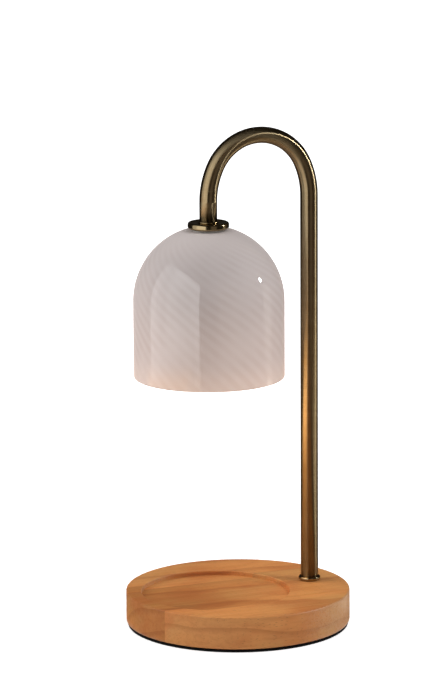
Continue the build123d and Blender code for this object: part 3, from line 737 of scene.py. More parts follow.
@dataclass(frozen=True)
class OpalGlass(Finish):
    """White opal glass with a twisted stripe, a clear glossy skin, and a painted warm glow near its rim.

    Args:
        title: The material's name.
        axis_x: Where the shade's axis stands.
        rim: Height of the rim.
        dome: Height where the straight wall ends.
        radius: Radius of the wall and dome.
        stripes: Number of stripes round the shade.
        pitch_rim: Height between two stripes at the rim.
        pitch_top: The same at the top.
        milk: Colour between the stripes.
        stripe: Colour of the stripes.
        glow: Colour and strength of the painted glow low on the wall, emission standing for the bulb's light.
        painted_rim_glow: The same painted glow right at the rim.
        skin_edge: Share of the skin's gloss left where the glass turns away from the eye.
        cloud_scale: Scale of the clouds in which the stripes are fainter.
        stray_scale: Scale on which the stripes stray.
        stray: How far they stray, in radians of their wave.
        stripe_fade: Where up the glass they start to fade, and where they are gone, as shares of its height.
        rim_share: Share of the height over which the rim's painted glow passes into the wall's.
        painted_glow_share: Share of the height over which the painted glow fades out.
    """

    title: str
    axis_x: float
    rim: float
    dome: float
    radius: float
    stripes: int = 32
    pitch_rim: float = 0.0100
    pitch_top: float = 0.0052
    milk: Colour = (0.618, 0.551, 0.535)
    stripe: Colour = (0.568, 0.491, 0.471)
    glow: Colour = (0.165, 0.094, 0.058)
    painted_rim_glow: Colour = (0.262, 0.150, 0.088)
    skin_edge: float = 0.12
    cloud_scale: float = 34.0
    stray_scale: float = 22.0
    stray: float = 3.0
    stripe_fade: tuple[float, float] = (0.75, 1.12)
    rim_share: float = 0.2
    painted_glow_share: float = 0.9

    def mix(self, sketch: NodeSketch, surface: bpy.types.Node) -> None:
        """Winds the stripes round the shade and adds the skin and the painted glow.

        Args:
            sketch: The material's sketch.
            surface: Its Principled node.
        """
        place = sketch.place()
        axes = sketch.add("ShaderNodeSeparateXYZ", {0: place}).outputs
        run = self.run_up(sketch, axes["Z"])
        stripe = self.twist(sketch, axes, run, place)
        clouds = sketch.noise(place, self.cloud_scale, 2.0, 0.5)
        depth = sketch.maths("MULTIPLY", stripe, sketch.spread(clouds, 0.35, 0.65, 0.25, 1.0))
        high = self.dome + self.radius - self.rim
        fade = sketch.spread(run, *(share * high for share in self.stripe_fade), 1.0, 0.0)
        depth = sketch.maths("MULTIPLY", depth, fade)
        facing = sketch.add("ShaderNodeLayerWeight", {"Blend": 0.5}).outputs["Facing"]
        # Painted glow: emission that grows warmer and brighter towards the rim, standing in for the bulb's
        # light.
        low_down = sketch.spread(run, 0.0, self.rim_share * high, 1.0, 0.0)
        lit = sketch.spread(run, 0.0, self.painted_glow_share * high, 1.0, 0.0)
        light = sketch.blend(low_down, self.glow, self.painted_rim_glow)
        light = sketch.blend(lit, (0.0, 0.0, 0.0), light)
        sketch.feed(surface, {
            "Base Color": sketch.blend(sketch.maths("MULTIPLY", depth, 0.8), self.milk, self.stripe),
            "Roughness": 0.3,
            "Specular IOR Level": 0.0,
            "Coat Weight": sketch.spread(facing, 0.55, 0.97, 1.0, self.skin_edge),
            "Coat Roughness": 0.02,
            "Coat IOR": 1.6,
            "Emission Color": light,
            "Emission Strength": 1.0,
        })
        sketch.bump(surface, depth, 0.08, 0.0002)

    def run_up(self, sketch: NodeSketch, height: Any) -> bpy.types.NodeSocket:
        """Measures how far up the glass a point lies, round the dome.

        Args:
            sketch: The material's sketch.
            height: Socket of the point's height.

        Returns:
            The length from the rim to the point.
        """
        straight = sketch.maths("SUBTRACT", sketch.maths("MINIMUM", height, self.dome), self.rim)
        above = sketch.maths("DIVIDE", sketch.maths("SUBTRACT", height, self.dome), self.radius)
        curved = sketch.maths("ARCSINE", sketch.maths("MINIMUM", sketch.maths("MAXIMUM", above, 0.0), 1.0))
        return sketch.maths("ADD", straight, sketch.maths("MULTIPLY", curved, self.radius))

    def twist(self, sketch: NodeSketch, axes: Any, run: Any, place: Any) -> bpy.types.NodeSocket:
        """Draws the stripes, whose pitch closes up towards the top.

        Args:
            sketch: The material's sketch.
            axes: Sockets of the point's coordinates.
            run: Socket of its length up the glass.
            place: Socket of its coordinates, joined.

        Returns:
            A mask that is 1 in the middle of each stripe.
        """
        angle = sketch.maths("ARCTAN2", axes["Y"], sketch.maths("SUBTRACT", axes["X"], self.axis_x))
        reach = self.dome - self.rim + self.radius * math.pi / 2
        first = math.tau / self.pitch_rim
        growth = (math.tau / self.pitch_top - first) / (2 * reach)
        rate = sketch.maths("ADD", sketch.maths("MULTIPLY", run, growth), first)
        climb = sketch.maths("MULTIPLY", run, rate)
        phase = sketch.maths("ADD", sketch.maths("MULTIPLY", angle, float(self.stripes)), climb)
        aside = sketch.maths("SUBTRACT", sketch.noise(place, self.stray_scale, 1.0), 0.5)
        stray = sketch.maths("MULTIPLY", aside, self.stray)
        wave = sketch.maths("SINE", sketch.maths("ADD", phase, stray))
        return sketch.spread(wave, -0.9, 0.9)


@dataclass(frozen=True)
class FoamRubber(Finish):
    """Black closed-cell foam or rubber.

    Args:
        title: The material's name.
        colour: Its colour.
        cell: Number of cells per metre.
    """

    title: str
    colour: Colour = (0.003, 0.003, 0.003)
    cell: float = 2600.0

    def mix(self, sketch: NodeSketch, surface: bpy.types.Node) -> None:
        """Pits a dull dark surface and lets dust lighten it.

        Args:
            sketch: The material's sketch.
            surface: Its Principled node.
        """
        place = sketch.place()
        dust = Tarnish().use(sketch, {"Vector": place, "Scale": 120.0})["Dust"]
        pits = Speckle().use(sketch, {"Vector": place, "Scale": self.cell, "Size": 0.5})["Dots"]
        pale = tuple(2.4 * part for part in self.colour)
        sketch.feed(surface, {
            "Base Color": sketch.blend(sketch.maths("MULTIPLY", dust, 0.5), self.colour, pale),
            "Roughness": sketch.spread(dust, 0.0, 1.0, 0.72, 0.9),
            "Specular IOR Level": 0.06,
        })
        sketch.bump(surface, sketch.maths("SUBTRACT", 1.0, pits), 0.4, 0.00008)


@dataclass(frozen=True)
class ZincSteel(Finish):
    """Zinc-plated steel with its pale blue cast.

    Args:
        title: The material's name.
        colour: Colour of the plating.
        dull: Colour where it has dulled.
    """

    title: str = "zinc_plated_steel"
    colour: Colour = (0.60, 0.62, 0.64)
    dull: Colour = (0.42, 0.43, 0.43)

    def mix(self, sketch: NodeSketch, surface: bpy.types.Node) -> None:
        """Dulls the plating in clouds.

        Args:
            sketch: The material's sketch.
            surface: Its Principled node.
        """
        place = sketch.place()
        clouds = Tarnish().use(sketch, {"Vector": place, "Scale": 180.0})
        scratches = {"Vector": place, "Along": (0.08, 0.08, 1.0), "Scale": 3200.0}
        lines = Brushing().use(sketch, scratches)["Lines"]
        sketch.feed(surface, {
            "Base Color": sketch.blend(clouds["Cloud"], self.colour, self.dull),
            "Metallic": 1.0,
            "Roughness": sketch.spread(clouds["Dust"], 0.0, 1.0, 0.26, 0.42),
        })
        sketch.bump(surface, lines, 0.15, 0.00002)


@dataclass(frozen=True)
class PlainBrass(Finish):
    """Bare machined brass.

    Args:
        title: The material's name.
        colour: Colour of the clean metal.
        dull: Colour where it has browned.
    """

    title: str = "machined_brass"
    colour: Colour = (0.78, 0.56, 0.24)
    dull: Colour = (0.50, 0.33, 0.13)

    def mix(self, sketch: NodeSketch, surface: bpy.types.Node) -> None:
        """Browns the brass in clouds and draws the tool's lines.

        Args:
            sketch: The material's sketch.
            surface: Its Principled node.
        """
        place = sketch.place()
        clouds = Tarnish().use(sketch, {"Vector": place, "Scale": 240.0})
        scratches = {"Vector": place, "Along": (1.0, 0.05, 0.05), "Scale": 3600.0}
        lines = Brushing().use(sketch, scratches)["Lines"]
        browned = sketch.maths("MULTIPLY", clouds["Cloud"], 0.6)
        sketch.feed(surface, {
            "Base Color": sketch.blend(browned, self.colour, self.dull),
            "Metallic": 1.0,
            "Roughness": sketch.spread(lines, 0.0, 1.0, 0.2, 0.34),
        })
        sketch.bump(surface, lines, 0.15, 0.00002)


@dataclass(frozen=True)
class Ceramic(Finish):
    """Unglazed steatite or its cement.

    Args:
        title: The material's name.
        colour: Colour of the body.
        grit: Colour of its specks.
        roughness: How dull it is.
    """

    title: str = "steatite"
    colour: Colour = (0.76, 0.72, 0.64)
    grit: Colour = (0.42, 0.36, 0.28)
    roughness: float = 0.5

    def mix(self, sketch: NodeSketch, surface: bpy.types.Node) -> None:
        """Sprinkles fine grit and warm clouds over a pale body.

        Args:
            sketch: The material's sketch.
            surface: Its Principled node.
        """
        place = sketch.place()
        clouds = Tarnish().use(sketch, {"Vector": place, "Scale": 90.0})
        specks = Speckle().use(sketch, {"Vector": place, "Scale": 1500.0, "Size": 0.2})["Dots"]
        warm = sketch.blend(sketch.maths("MULTIPLY", clouds["Cloud"], 0.25), self.colour, self.grit)
        sketch.feed(surface, {
            "Base Color": sketch.blend(sketch.maths("MULTIPLY", specks, 0.5), warm, self.grit),
            "Roughness": sketch.spread(clouds["Dust"], 0.0, 1.0, self.roughness - 0.06, self.roughness + 0.1),
        })
        sketch.bump(surface, sketch.maths("ADD", clouds["Dust"], specks), 0.25, 0.00004)


@dataclass(frozen=True)
class Moulded(Finish):
    """Moulded plastic or rubber sleeve with a fine eggshell skin.

    Args:
        title: The material's name.
        colour: Its colour.
        roughness: How dull it is.
    """

    title: str
    colour: Colour
    roughness: float = 0.42

    def mix(self, sketch: NodeSketch, surface: bpy.types.Node) -> None:
        """Adds an eggshell skin and a little dust.

        Args:
            sketch: The material's sketch.
            surface: Its Principled node.
        """
        place = sketch.place()
        clouds = Tarnish().use(sketch, {"Vector": place, "Scale": 150.0})
        skin = sketch.noise(place, 2400.0, 2.0, 0.5)
        deep = tuple(0.8 * part for part in self.colour)
        sketch.feed(surface, {
            "Base Color": sketch.blend(sketch.maths("MULTIPLY", clouds["Cloud"], 0.6), self.colour, deep),
            "Roughness": sketch.spread(clouds["Dust"], 0.0, 1.0, self.roughness - 0.05, self.roughness + 0.1),
        })
        sketch.bump(surface, skin, 0.2, 0.00004)


@dataclass(frozen=True)
class Mirror(Finish):
    """The bulb's aluminised bowl.

    Args:
        title: The material's name.
        colour: Colour of the coating.
    """

    title: str = "aluminised_bowl"
    colour: Colour = (0.86, 0.84, 0.80)

    def mix(self, sketch: NodeSketch, surface: bpy.types.Node) -> None:
        """Clouds a bright coating a little.

        Args:
            sketch: The material's sketch.
            surface: Its Principled node.
        """
        clouds = Tarnish().use(sketch, {"Vector": sketch.place(), "Scale": 120.0})
        hazy = tuple(0.82 * part for part in self.colour)
        sketch.feed(surface, {
            "Base Color": sketch.blend(clouds["Cloud"], self.colour, hazy),
            "Metallic": 1.0,
            "Roughness": sketch.spread(clouds["Dust"], 0.0, 1.0, 0.08, 0.16),
        })


@dataclass(frozen=True)
class ClearGlass(Finish):
    """Clear pressed glass or quartz.

    Args:
        title: The material's name.
        tint: Its colour.
        dimple: Number of pressed dimples per metre, or 0 for smooth glass.
    """

    title: str
    tint: Colour = (0.97, 0.98, 0.97)
    dimple: float = 0.0

    def mix(self, sketch: NodeSketch, surface: bpy.types.Node) -> None:
        """Presses shallow dimples into the glass and smears it a little.

        Args:
            sketch: The material's sketch.
            surface: Its Principled node.
        """
        place = sketch.place()
        smear = Tarnish().use(sketch, {"Vector": place, "Scale": 60.0})
        faint = tuple(0.94 * part for part in self.tint)
        sketch.feed(surface, {
            "Base Color": sketch.blend(smear["Cloud"], self.tint, faint),
            "Transmission Weight": 1.0,
            "IOR": 1.5,
            "Roughness": sketch.spread(smear["Dust"], 0.0, 1.0, 0.02, 0.07),
        })
        if self.dimple:
            inputs = {"Vector": place, "Scale": self.dimple}
            cells = sketch.add("ShaderNodeTexVoronoi", inputs, feature="SMOOTH_F1")
            sketch.bump(surface, cells.outputs["Distance"], 0.7, 0.0008)


@dataclass(frozen=True)
class GlowingTungsten(Finish):
    """The lit filament.

    Args:
        title: The material's name.
        colour: Colour of its light.
        strength: Strength of its light.
    """

    title: str = "glowing_tungsten"
    colour: Colour = (1.0, 0.62, 0.26)
    strength: float = 5.0

    def mix(self, sketch: NodeSketch, surface: bpy.types.Node) -> None:
        """Makes the wire glow, a little unevenly.

        Args:
            sketch: The material's sketch.
            surface: Its Principled node.
        """
        uneven = sketch.noise(sketch.place(), 1800.0, 1.0, 0.5)
        dimmer = tuple(0.7 * part for part in self.colour)
        sketch.feed(surface, {
            "Base Color": (0.2, 0.2, 0.2, 1.0),
            "Roughness": 0.5,
            "Emission Color": sketch.blend(uneven, self.colour, dimmer),
            "Emission Strength": self.strength,
        })


# ---------------------------------------------------------------- bench


class Bench:
    """Turns finished shapes into pieces of the lamp, and dresses the nodes that stay."""

    def piece(
        self, name: str, shape: bmesh.types.BMesh, finish: Finish, body: Body, slot: Slot,
        stands_for: Iterable[str], crease: float = 32.0,
    ) -> bpy.types.Object:
        """Makes a piece from its shape.

        Args:
            name: The piece's name.
            shape: Its shape, which is freed.
            finish: Its finish.
            body: The body that it rides on.
            slot: The record's slot of its finish; not used.
            stands_for: The nodes that it replaces.
            crease: Angle in degrees from which an edge shows as sharp.

        Returns:
            The piece's object.
        """
        mesh = bpy.data.meshes.new(name)
        shape.to_mesh(mesh)
        shape.free()
        mesh.shade_smooth()
        mesh.set_sharp_from_angle(angle=math.radians(crease))
        mesh.materials.append(finish.material())
        piece = bpy.data.objects.new(name, mesh)
        bpy.context.scene.collection.objects.link(piece)
        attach(piece, body.value)
        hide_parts(*stands_for)
        LOG.info("made %s for %s: %d faces", name, ", ".join(stands_for), len(mesh.polygons))
        return piece

    def dress(self, finish: Finish, *nodes: str) -> None:
        """Gives nodes of the frame a finish.

        Args:
            finish: The finish.
            *nodes: The nodes' names.
        """
        for node in nodes:
            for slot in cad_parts[node].material_slots:
                slot.material = finish.material()
            LOG.info("dressed %s in %s", node, finish.title)


# ---------------------------------------------------------------- the lamp


@dataclass
class Base:
    """The wooden base, its pad, and the cord's grommet.

    Args:
        flange_depth: Thickness of the grommet's flange.
        flange_round: Rounding of its edge.
        bore: Radius of the cord's way through it.
        neck: Radius of the grommet in the wood.
        sides: Faces round the grommet.
        rubber: The grommet's finish.
    """

    flange_depth: float = 0.0015
    flange_round: float = 0.0006
    bore: float = 0.0028
    neck: float = 0.004
    sides: int = 48
    rubber: FoamRubber = field(default_factory=lambda: FoamRubber("grommet_rubber", cell=5200.0))

    def make(self, bench: Bench) -> None:
        """Dresses the wood, the pad and the fixings under the wood, and makes the grommet.

        Args:
            bench: The bench.
        """
        bench.dress(OiledBeech(), "wood_base")
        bench.dress(FoamRubber("foam_pad"), "base_pad")
        bench.piece("inlet_grommet", self.grommet(), self.rubber, Body.LAMP, Slot.GROMMET, ["cord_grommet"])
        bench.dress(ZincSteel(), "post_washer", "post_stud", "terminal_screws", "terminal_fixing_screw")
        bench.dress(Moulded("natural_nylon", (0.72, 0.70, 0.62)), "terminal_block")
        bench.dress(PlainBrass(), "terminal_barrels")

    def grommet(self) -> bmesh.types.BMesh:
        """Turns the grommet upright and lays it into its hole.

        Returns:
            Its shape.
        """
        box = Extent.of("cord_grommet")
        flange = (box.high.z - box.low.z) / 2
        inner, face = box.low.x, box.high.x
        outline = Outline(0, self.bore, inner).line(self.bore, face - self.flange_round)
        outline.arc(self.bore + self.flange_round, face - self.flange_round, -90, 5)
        outline.line(flange - self.flange_round, face)
        outline.arc(flange - self.flange_round, face - self.flange_round, -90, 5)
        outline.line(flange, face - self.flange_depth).line(self.neck, face - self.flange_depth)
        outline.line(self.neck, inner).close()
        shape = outline.turn(self.sides)
        middle = box.middle
        laid = Matrix.Rotation(math.pi / 2, 3, "Y")
        bmesh.ops.rotate(shape, verts=shape.verts, cent=(0, 0, 0), matrix=laid)
        bmesh.ops.translate(shape, verts=shape.verts, vec=(0, middle.y, middle.z))
        return shape


@dataclass
class HexNut:
    """A hexagonal nut with turned corners.

    Args:
        node: The node that it replaces.
        bore: Radius of its thread.
        corner: Height that the turned corner takes at each face.
        width: Distance between two flats.
        sides: Faces round the blank that the nut is cut from.
    """

    node: str
    bore: float = 0.005
    corner: float = 0.0006
    width: float = 0.014
    sides: int = 72

    def shape(self) -> bmesh.types.BMesh:
        """Cuts a hexagon out of a turned blank.

        Returns:
            The nut's shape.
        """
        box = Extent.of(self.node)
        low, high, blank = box.low.z, box.high.z, self.width / math.sqrt(3)
        outline = Outline(box.middle.x, self.bore, low).line(blank - 2 * self.corner, low)
        outline.line(blank, low + self.corner).line(blank, high - self.corner)
        outline.line(blank - 2 * self.corner, high).line(self.bore, high).close()
        nut = outline.turn(self.sides)
        for flat in range(6):
            way = Vector((math.sin(flat * math.tau / 6), math.cos(flat * math.tau / 6), 0))
            middle = Vector((box.middle.x, 0, 0)) + way * self.width / 2
            cut = bmesh.ops.bisect_plane(
                nut, geom=nut.verts[:] + nut.edges[:] + nut.faces[:], plane_co=middle, plane_no=way,
                clear_outer=True,
            )
            rim = [edge for edge in cut["geom_cut"] if isinstance(edge, bmesh.types.BMEdge)]
            bmesh.ops.contextual_create(nut, geom=rim)
        bmesh.ops.recalc_face_normals(nut, faces=nut.faces)
        return nut


@dataclass(frozen=True)
class Bend:
    """One arc of the arm's bend, in the XZ plane.

    Args:
        centre: Its centre, as X and Z.
        radius: Radius of the tube's axis.
        turn: How far it turns, in degrees.
        steps: Rings over it.
    """

    centre: Vector
    radius: float
    turn: float
    steps: int


@dataclass
class Arm:
    """The collar and the one bent tube that carries the shade.

    Args:
        wall: Wall of the tube.
        side_radius: Radius of the bend at its two sides.
        side_turn: How far each side turns before the tighter crown, in degrees.
        stud_reach: How far the shade's stud reaches into the tube.
        collar_round: Rounding of the collar's edges.
        flattening: Share by which the bend's top is thinner than the tube.
        sides: Faces round the tube and the collar.
        side_steps: Rings over each side of the bend.
        crown_steps: Rings over its crown.
    """

    wall: float = 0.00125
    side_radius: float = 0.0537
    side_turn: float = 25.0
    stud_reach: float = 0.0137
    collar_round: float = 0.0013
    flattening: float = 0.08
    sides: int = 96
    side_steps: int = 56
    crown_steps: int = 190

    def __post_init__(self) -> None:
        """Reads the tube's place from the frame."""
        tube = Extent.of("arm_tube")
        self.post_x = Extent.of("post_collar").middle.x
        self.shade_x = Extent.of("shade_cap").middle.x
        self.radius = tube.high.x - self.post_x
        self.foot, self.crown = tube.low.z, tube.high.z
        half, turn = (self.post_x - self.shade_x) / 2, math.radians(self.side_turn)
        crown_radius = (half - self.side_radius * (1 - math.cos(turn))) / math.cos(turn)
        centre = Vector(((self.post_x + self.shade_x) / 2, self.crown - self.radius - crown_radius))
        self.spring = centre.y - (self.side_radius - crown_radius) * math.sin(turn)
        self.bends = (
            self.side(self.post_x - self.side_radius),
            Bend(centre, crown_radius, 180 - 2 * self.side_turn, self.crown_steps),
            self.side(self.shade_x + self.side_radius),
        )

    def side(self, centre_x: float) -> Bend:
        """Lays out one of the bend's two sides.

        Args:
            centre_x: Where its centre stands.

        Returns:
            The side.
        """
        return Bend(Vector((centre_x, self.spring)), self.side_radius, self.side_turn, self.side_steps)

    def make(self, bench: Bench) -> None:
        """Makes the tube, the collar and the nut below.

        Args:
            bench: The bench.
        """
        tube_brass = AntiqueBrass(
            "antique_brass_tube_finish", roughness=0.31, stretch=1.0, attribute="unbent", grain="lengthwise",
        )
        ring_brass = AntiqueBrass("antique_brass_ring_finish")
        tube = bench.piece("bent_tube", self.tube(), tube_brass, Body.LAMP, Slot.TUBE, ["arm_tube"])
        wall = tube.modifiers.new("wall", "SOLIDIFY")
        wall.thickness = self.wall
        wall.offset = -1
        bench.piece("foot_collar", self.collar(), ring_brass, Body.LAMP, Slot.RING, ["post_collar"])
        bench.piece("foot_nut", HexNut("post_nut").shape(), ZincSteel(), Body.LAMP, Slot.STEEL, ["post_nut"])

    def tube(self) -> bmesh.types.BMesh:
        """Draws the tube up, swings it over the bend and down to the cap.

        Returns:
            The tube's outer surface.
        """
        shape = bmesh.new()
        ring = bmesh.ops.create_circle(shape, segments=self.sides, radius=self.radius)["verts"]
        bmesh.ops.translate(shape, verts=ring, vec=(self.post_x, 0, self.foot))
        drawn = bmesh.ops.extrude_edge_only(shape, edges=shape.edges[:])["geom"]
        top = [part for part in drawn if isinstance(part, bmesh.types.BMVert)]
        bmesh.ops.translate(shape, verts=top, vec=(0, 0, self.spring - self.foot))
        swung = [part for part in drawn if not isinstance(part, bmesh.types.BMFace)]
        for bend in self.bends:
            swung = bmesh.ops.spin(
                shape, geom=swung, cent=(bend.centre.x, 0, bend.centre.y), axis=(0, -1, 0), dvec=(0, 0, 0),
                angle=math.radians(bend.turn), steps=bend.steps, use_merge=False, use_duplicate=False,
            )["geom_last"]
            swung = [part for part in swung if not isinstance(part, bmesh.types.BMFace)]
        last = [part for part in swung if isinstance(part, bmesh.types.BMEdge)]
        drawn = bmesh.ops.extrude_edge_only(shape, edges=last)["geom"]
        end = [part for part in drawn if isinstance(part, bmesh.types.BMVert)]
        seat = Extent.of("shade_stud").high.z - self.stud_reach
        bmesh.ops.translate(shape, verts=end, vec=(0, 0, seat - self.spring))
        bmesh.ops.recalc_face_normals(shape, faces=shape.faces)
        self.unbend(shape)
        return shape

    def unbend(self, shape: bmesh.types.BMesh) -> None:
        """Notes each point's place on the straight tube, and flattens the bend's top as bending does.

        The map "lengthwise" runs along the tube, and highlights are drawn out along it.

        Args:
            shape: The tube's shape.
        """
        unbent = shape.verts.layers.float_vector.new("unbent")
        mapped = shape.loops.layers.uv.new("lengthwise")
        for vert in shape.verts:
            out, along, turn = self.straighten(vert.co)
            vert[unbent] = (out, vert.co.y, along)
            if 0 < turn < math.pi:
                pressed = out * self.flattening * math.sin(turn) ** 2
                vert.co.x -= pressed * math.cos(turn)
                vert.co.z -= pressed * math.sin(turn)
        for face in shape.faces:
            start = math.atan2(face.verts[0][unbent].y, face.verts[0][unbent].x)
            for loop in face.loops:
                out, side, along = loop.vert[unbent]
                round_it = math.remainder(math.atan2(side, out) - start, math.tau) + start
                loop[mapped].uv = (along, round_it * self.radius)

    def straighten(self, point: Vector) -> tuple[float, float, float]:
        """Finds a point's place on the straight tube.

        Args:
            point: The point on the bent tube.

        Returns:
            How far it lies outside the tube's axis, how far along it, and how far the tube has turned there.
        """
        above = point.z - self.spring
        if above <= 0:
            if point.x > self.bends[1].centre.x:
                return point.x - self.post_x, above, 0.0
            length = sum(math.radians(bend.turn) * bend.radius for bend in self.bends)
            return self.shade_x - point.x, length - above, math.pi
        along, turned = 0.0, 0.0
        for bend in self.bends:
            arm = Vector((point.x, point.z)) - bend.centre
            turn = math.atan2(arm.y, arm.x)
            if turn <= turned + math.radians(bend.turn) + SAME or bend is self.bends[-1]:
                break
            along += math.radians(bend.turn) * bend.radius
            turned += math.radians(bend.turn)
        return arm.length - bend.radius, along + (turn - turned) * bend.radius, turn

    def collar(self) -> bmesh.types.BMesh:
        """Turns the collar at the post's foot.

        Returns:
            Its shape.
        """
        box = Extent.of("post_collar")
        low, high, edge, ease = box.low.z, box.high.z, box.radius, self.collar_round
        outline = Outline(box.middle.x, self.radius, low).line(edge - ease, low)
        outline.arc(edge - ease, low + ease, 90, 10).line(edge, high - ease)
        outline.arc(edge - ease, high - ease, 90, 10).line(self.radius, high).close()
        return outline.turn(self.sides)


@dataclass
class Shade:
    """The cap ring, the opal glass and what clamps it.

    Args:
        thickness: Thickness of the glass.
        shoulder: Rounding between the dome and its flat top.
        rim_round: Rounding of the rim.
        wall: Height of the straight wall.
        hole: Radius of the hole in the glass.
        cap_round: Rounding of the cap's edges.
        groove: Depth of the cap's groove.
        neck: Radius of the cap's neck.
        neck_height: How far the neck's top stands over the ring.
        recess: Depth of the gasket's recess in the cap.
        glass_sides: Faces round the glass.
        cap_sides: Faces round the cap.
    """

    thickness: float = 0.003
    shoulder: float = 0.012
    rim_round: float = 0.0013
    wall: float = 0.0512
    hole: float = 0.0054
    cap_round: float = 0.0015
    groove: float = 0.0008
    neck: float = 0.0068
    neck_height: float = 0.0006
    recess: float = 0.0008
    glass_sides: int = 160
    cap_sides: int = 128

    def make(self, bench: Bench) -> None:
        """Makes the cap, the glass and the nuts, and dresses the rest of the clamp.

        Args:
            bench: The bench.
        """
        box = Extent.of("glass_shade")
        opal = OpalGlass("striped_opal_glass", box.middle.x, box.low.z, box.low.z + self.wall, box.radius)
        ring_brass = AntiqueBrass("antique_brass_ring_finish")
        bench.piece("opal_dome", self.glass(box), opal, Body.LAMP, Slot.OPAL, ["glass_shade"])
        bench.piece("cap_ring", self.cap(), ring_brass, Body.LAMP, Slot.RING, ["shade_cap"])
        for nut, name in (("shade_nut", "glass_nut"), ("bracket_nut", "bracket_lock_nut")):
            bench.piece(name, HexNut(nut).shape(), ZincSteel(), Body.LAMP, Slot.STEEL, [nut])
        bench.dress(ZincSteel(), "clamp_plate", "shade_stud")
        bench.dress(Moulded("soft_silicone", (0.62, 0.60, 0.56), 0.6), "upper_gasket", "lower_gasket")

    def glass(self, box: Extent) -> bmesh.types.BMesh:
        """Turns the glass: flat top, shoulder, dome, wall, rounded rim and back up inside.

        Args:
            box: The glass's box.

        Returns:
            Its shape.
        """
        outer, inner = box.radius, box.radius - self.thickness
        top, rim, dome = box.high.z, box.low.z, box.low.z + self.wall
        up = top - self.shoulder - dome
        across = math.sqrt((outer - self.shoulder) ** 2 - up ** 2)
        tangent = math.degrees(math.atan2(up, across))
        ceiling = top - self.thickness
        inner_end = math.degrees(math.asin((ceiling - dome) / inner))
        ease = self.rim_round
        outline = Outline(box.middle.x, self.hole, top).line(across, top)
        outline.arc(across, top - self.shoulder, tangent - 90, 12).arc(0, dome, -tangent, 40)
        outline.line(outer, rim + ease).arc(outer - ease, rim + ease, -90, 8)
        outline.line(inner + ease, rim).arc(inner + ease, rim + ease, -90, 8)
        outline.line(inner, dome).arc(0, dome, inner_end, 40).line(self.hole, ceiling).close()
        return outline.turn(self.glass_sides)

    def cap(self) -> bmesh.types.BMesh:
        """Turns the ring with its rounded edges, its groove and the low neck round the tube.

        Returns:
            Its shape.
        """
        box = Extent.of("shade_cap")
        low = box.low.z
        high = box.high.z - self.neck_height
        tube = Extent.of("arm_tube")
        seat = tube.high.x - Extent.of("post_collar").middle.x
        ease = self.cap_round
        land = box.radius - ease
        gasket = Extent.of("upper_gasket").radius
        outline = Outline(box.middle.x, seat, low + self.recess).line(gasket, low + self.recess)
        outline.line(gasket, low).line(land, low).arc(land, low + ease, 90, 12)
        outline.line(box.radius, high - ease).arc(land, high - ease, 90, 12)
        outline.bow(((land + self.neck) / 2, high - self.groove), (self.neck, high - self.groove / 2), 10)
        outline.bow(((self.neck + seat) / 2, box.high.z), (seat, high), 8).close()
        return outline.turn(self.cap_sides)


@dataclass
class Holder:
    """The bracket and the ceramic lamp holder."""

    def make(self, bench: Bench) -> None:
        """Dresses the bracket, the holder's halves, its screws and its contacts.

        Args:
            bench: The bench.
        """
        bench.dress(ZincSteel(), "holder_bracket", "holder_screws")
        bench.dress(Ceramic(), "holder_body", "holder_face")
        bench.dress(PlainBrass(), "holder_contacts")


@dataclass
class Wiring:
    """The two leads, from the terminals through the arm to the holder.

    Args:
        live: Colour of the live lead's sleeve.
        neutral: Colour of the neutral lead's sleeve.
    """

    live: Colour = (0.16, 0.055, 0.022)
    neutral: Colour = (0.025, 0.10, 0.34)

    def make(self, bench: Bench) -> None:
        """Dresses both leads.

        Args:
            bench: The bench.
        """
        bench.dress(Moulded("brown_sleeve", self.live, 0.5), "live_lead")
        bench.dress(Moulded("blue_sleeve", self.neutral, 0.5), "neutral_lead")


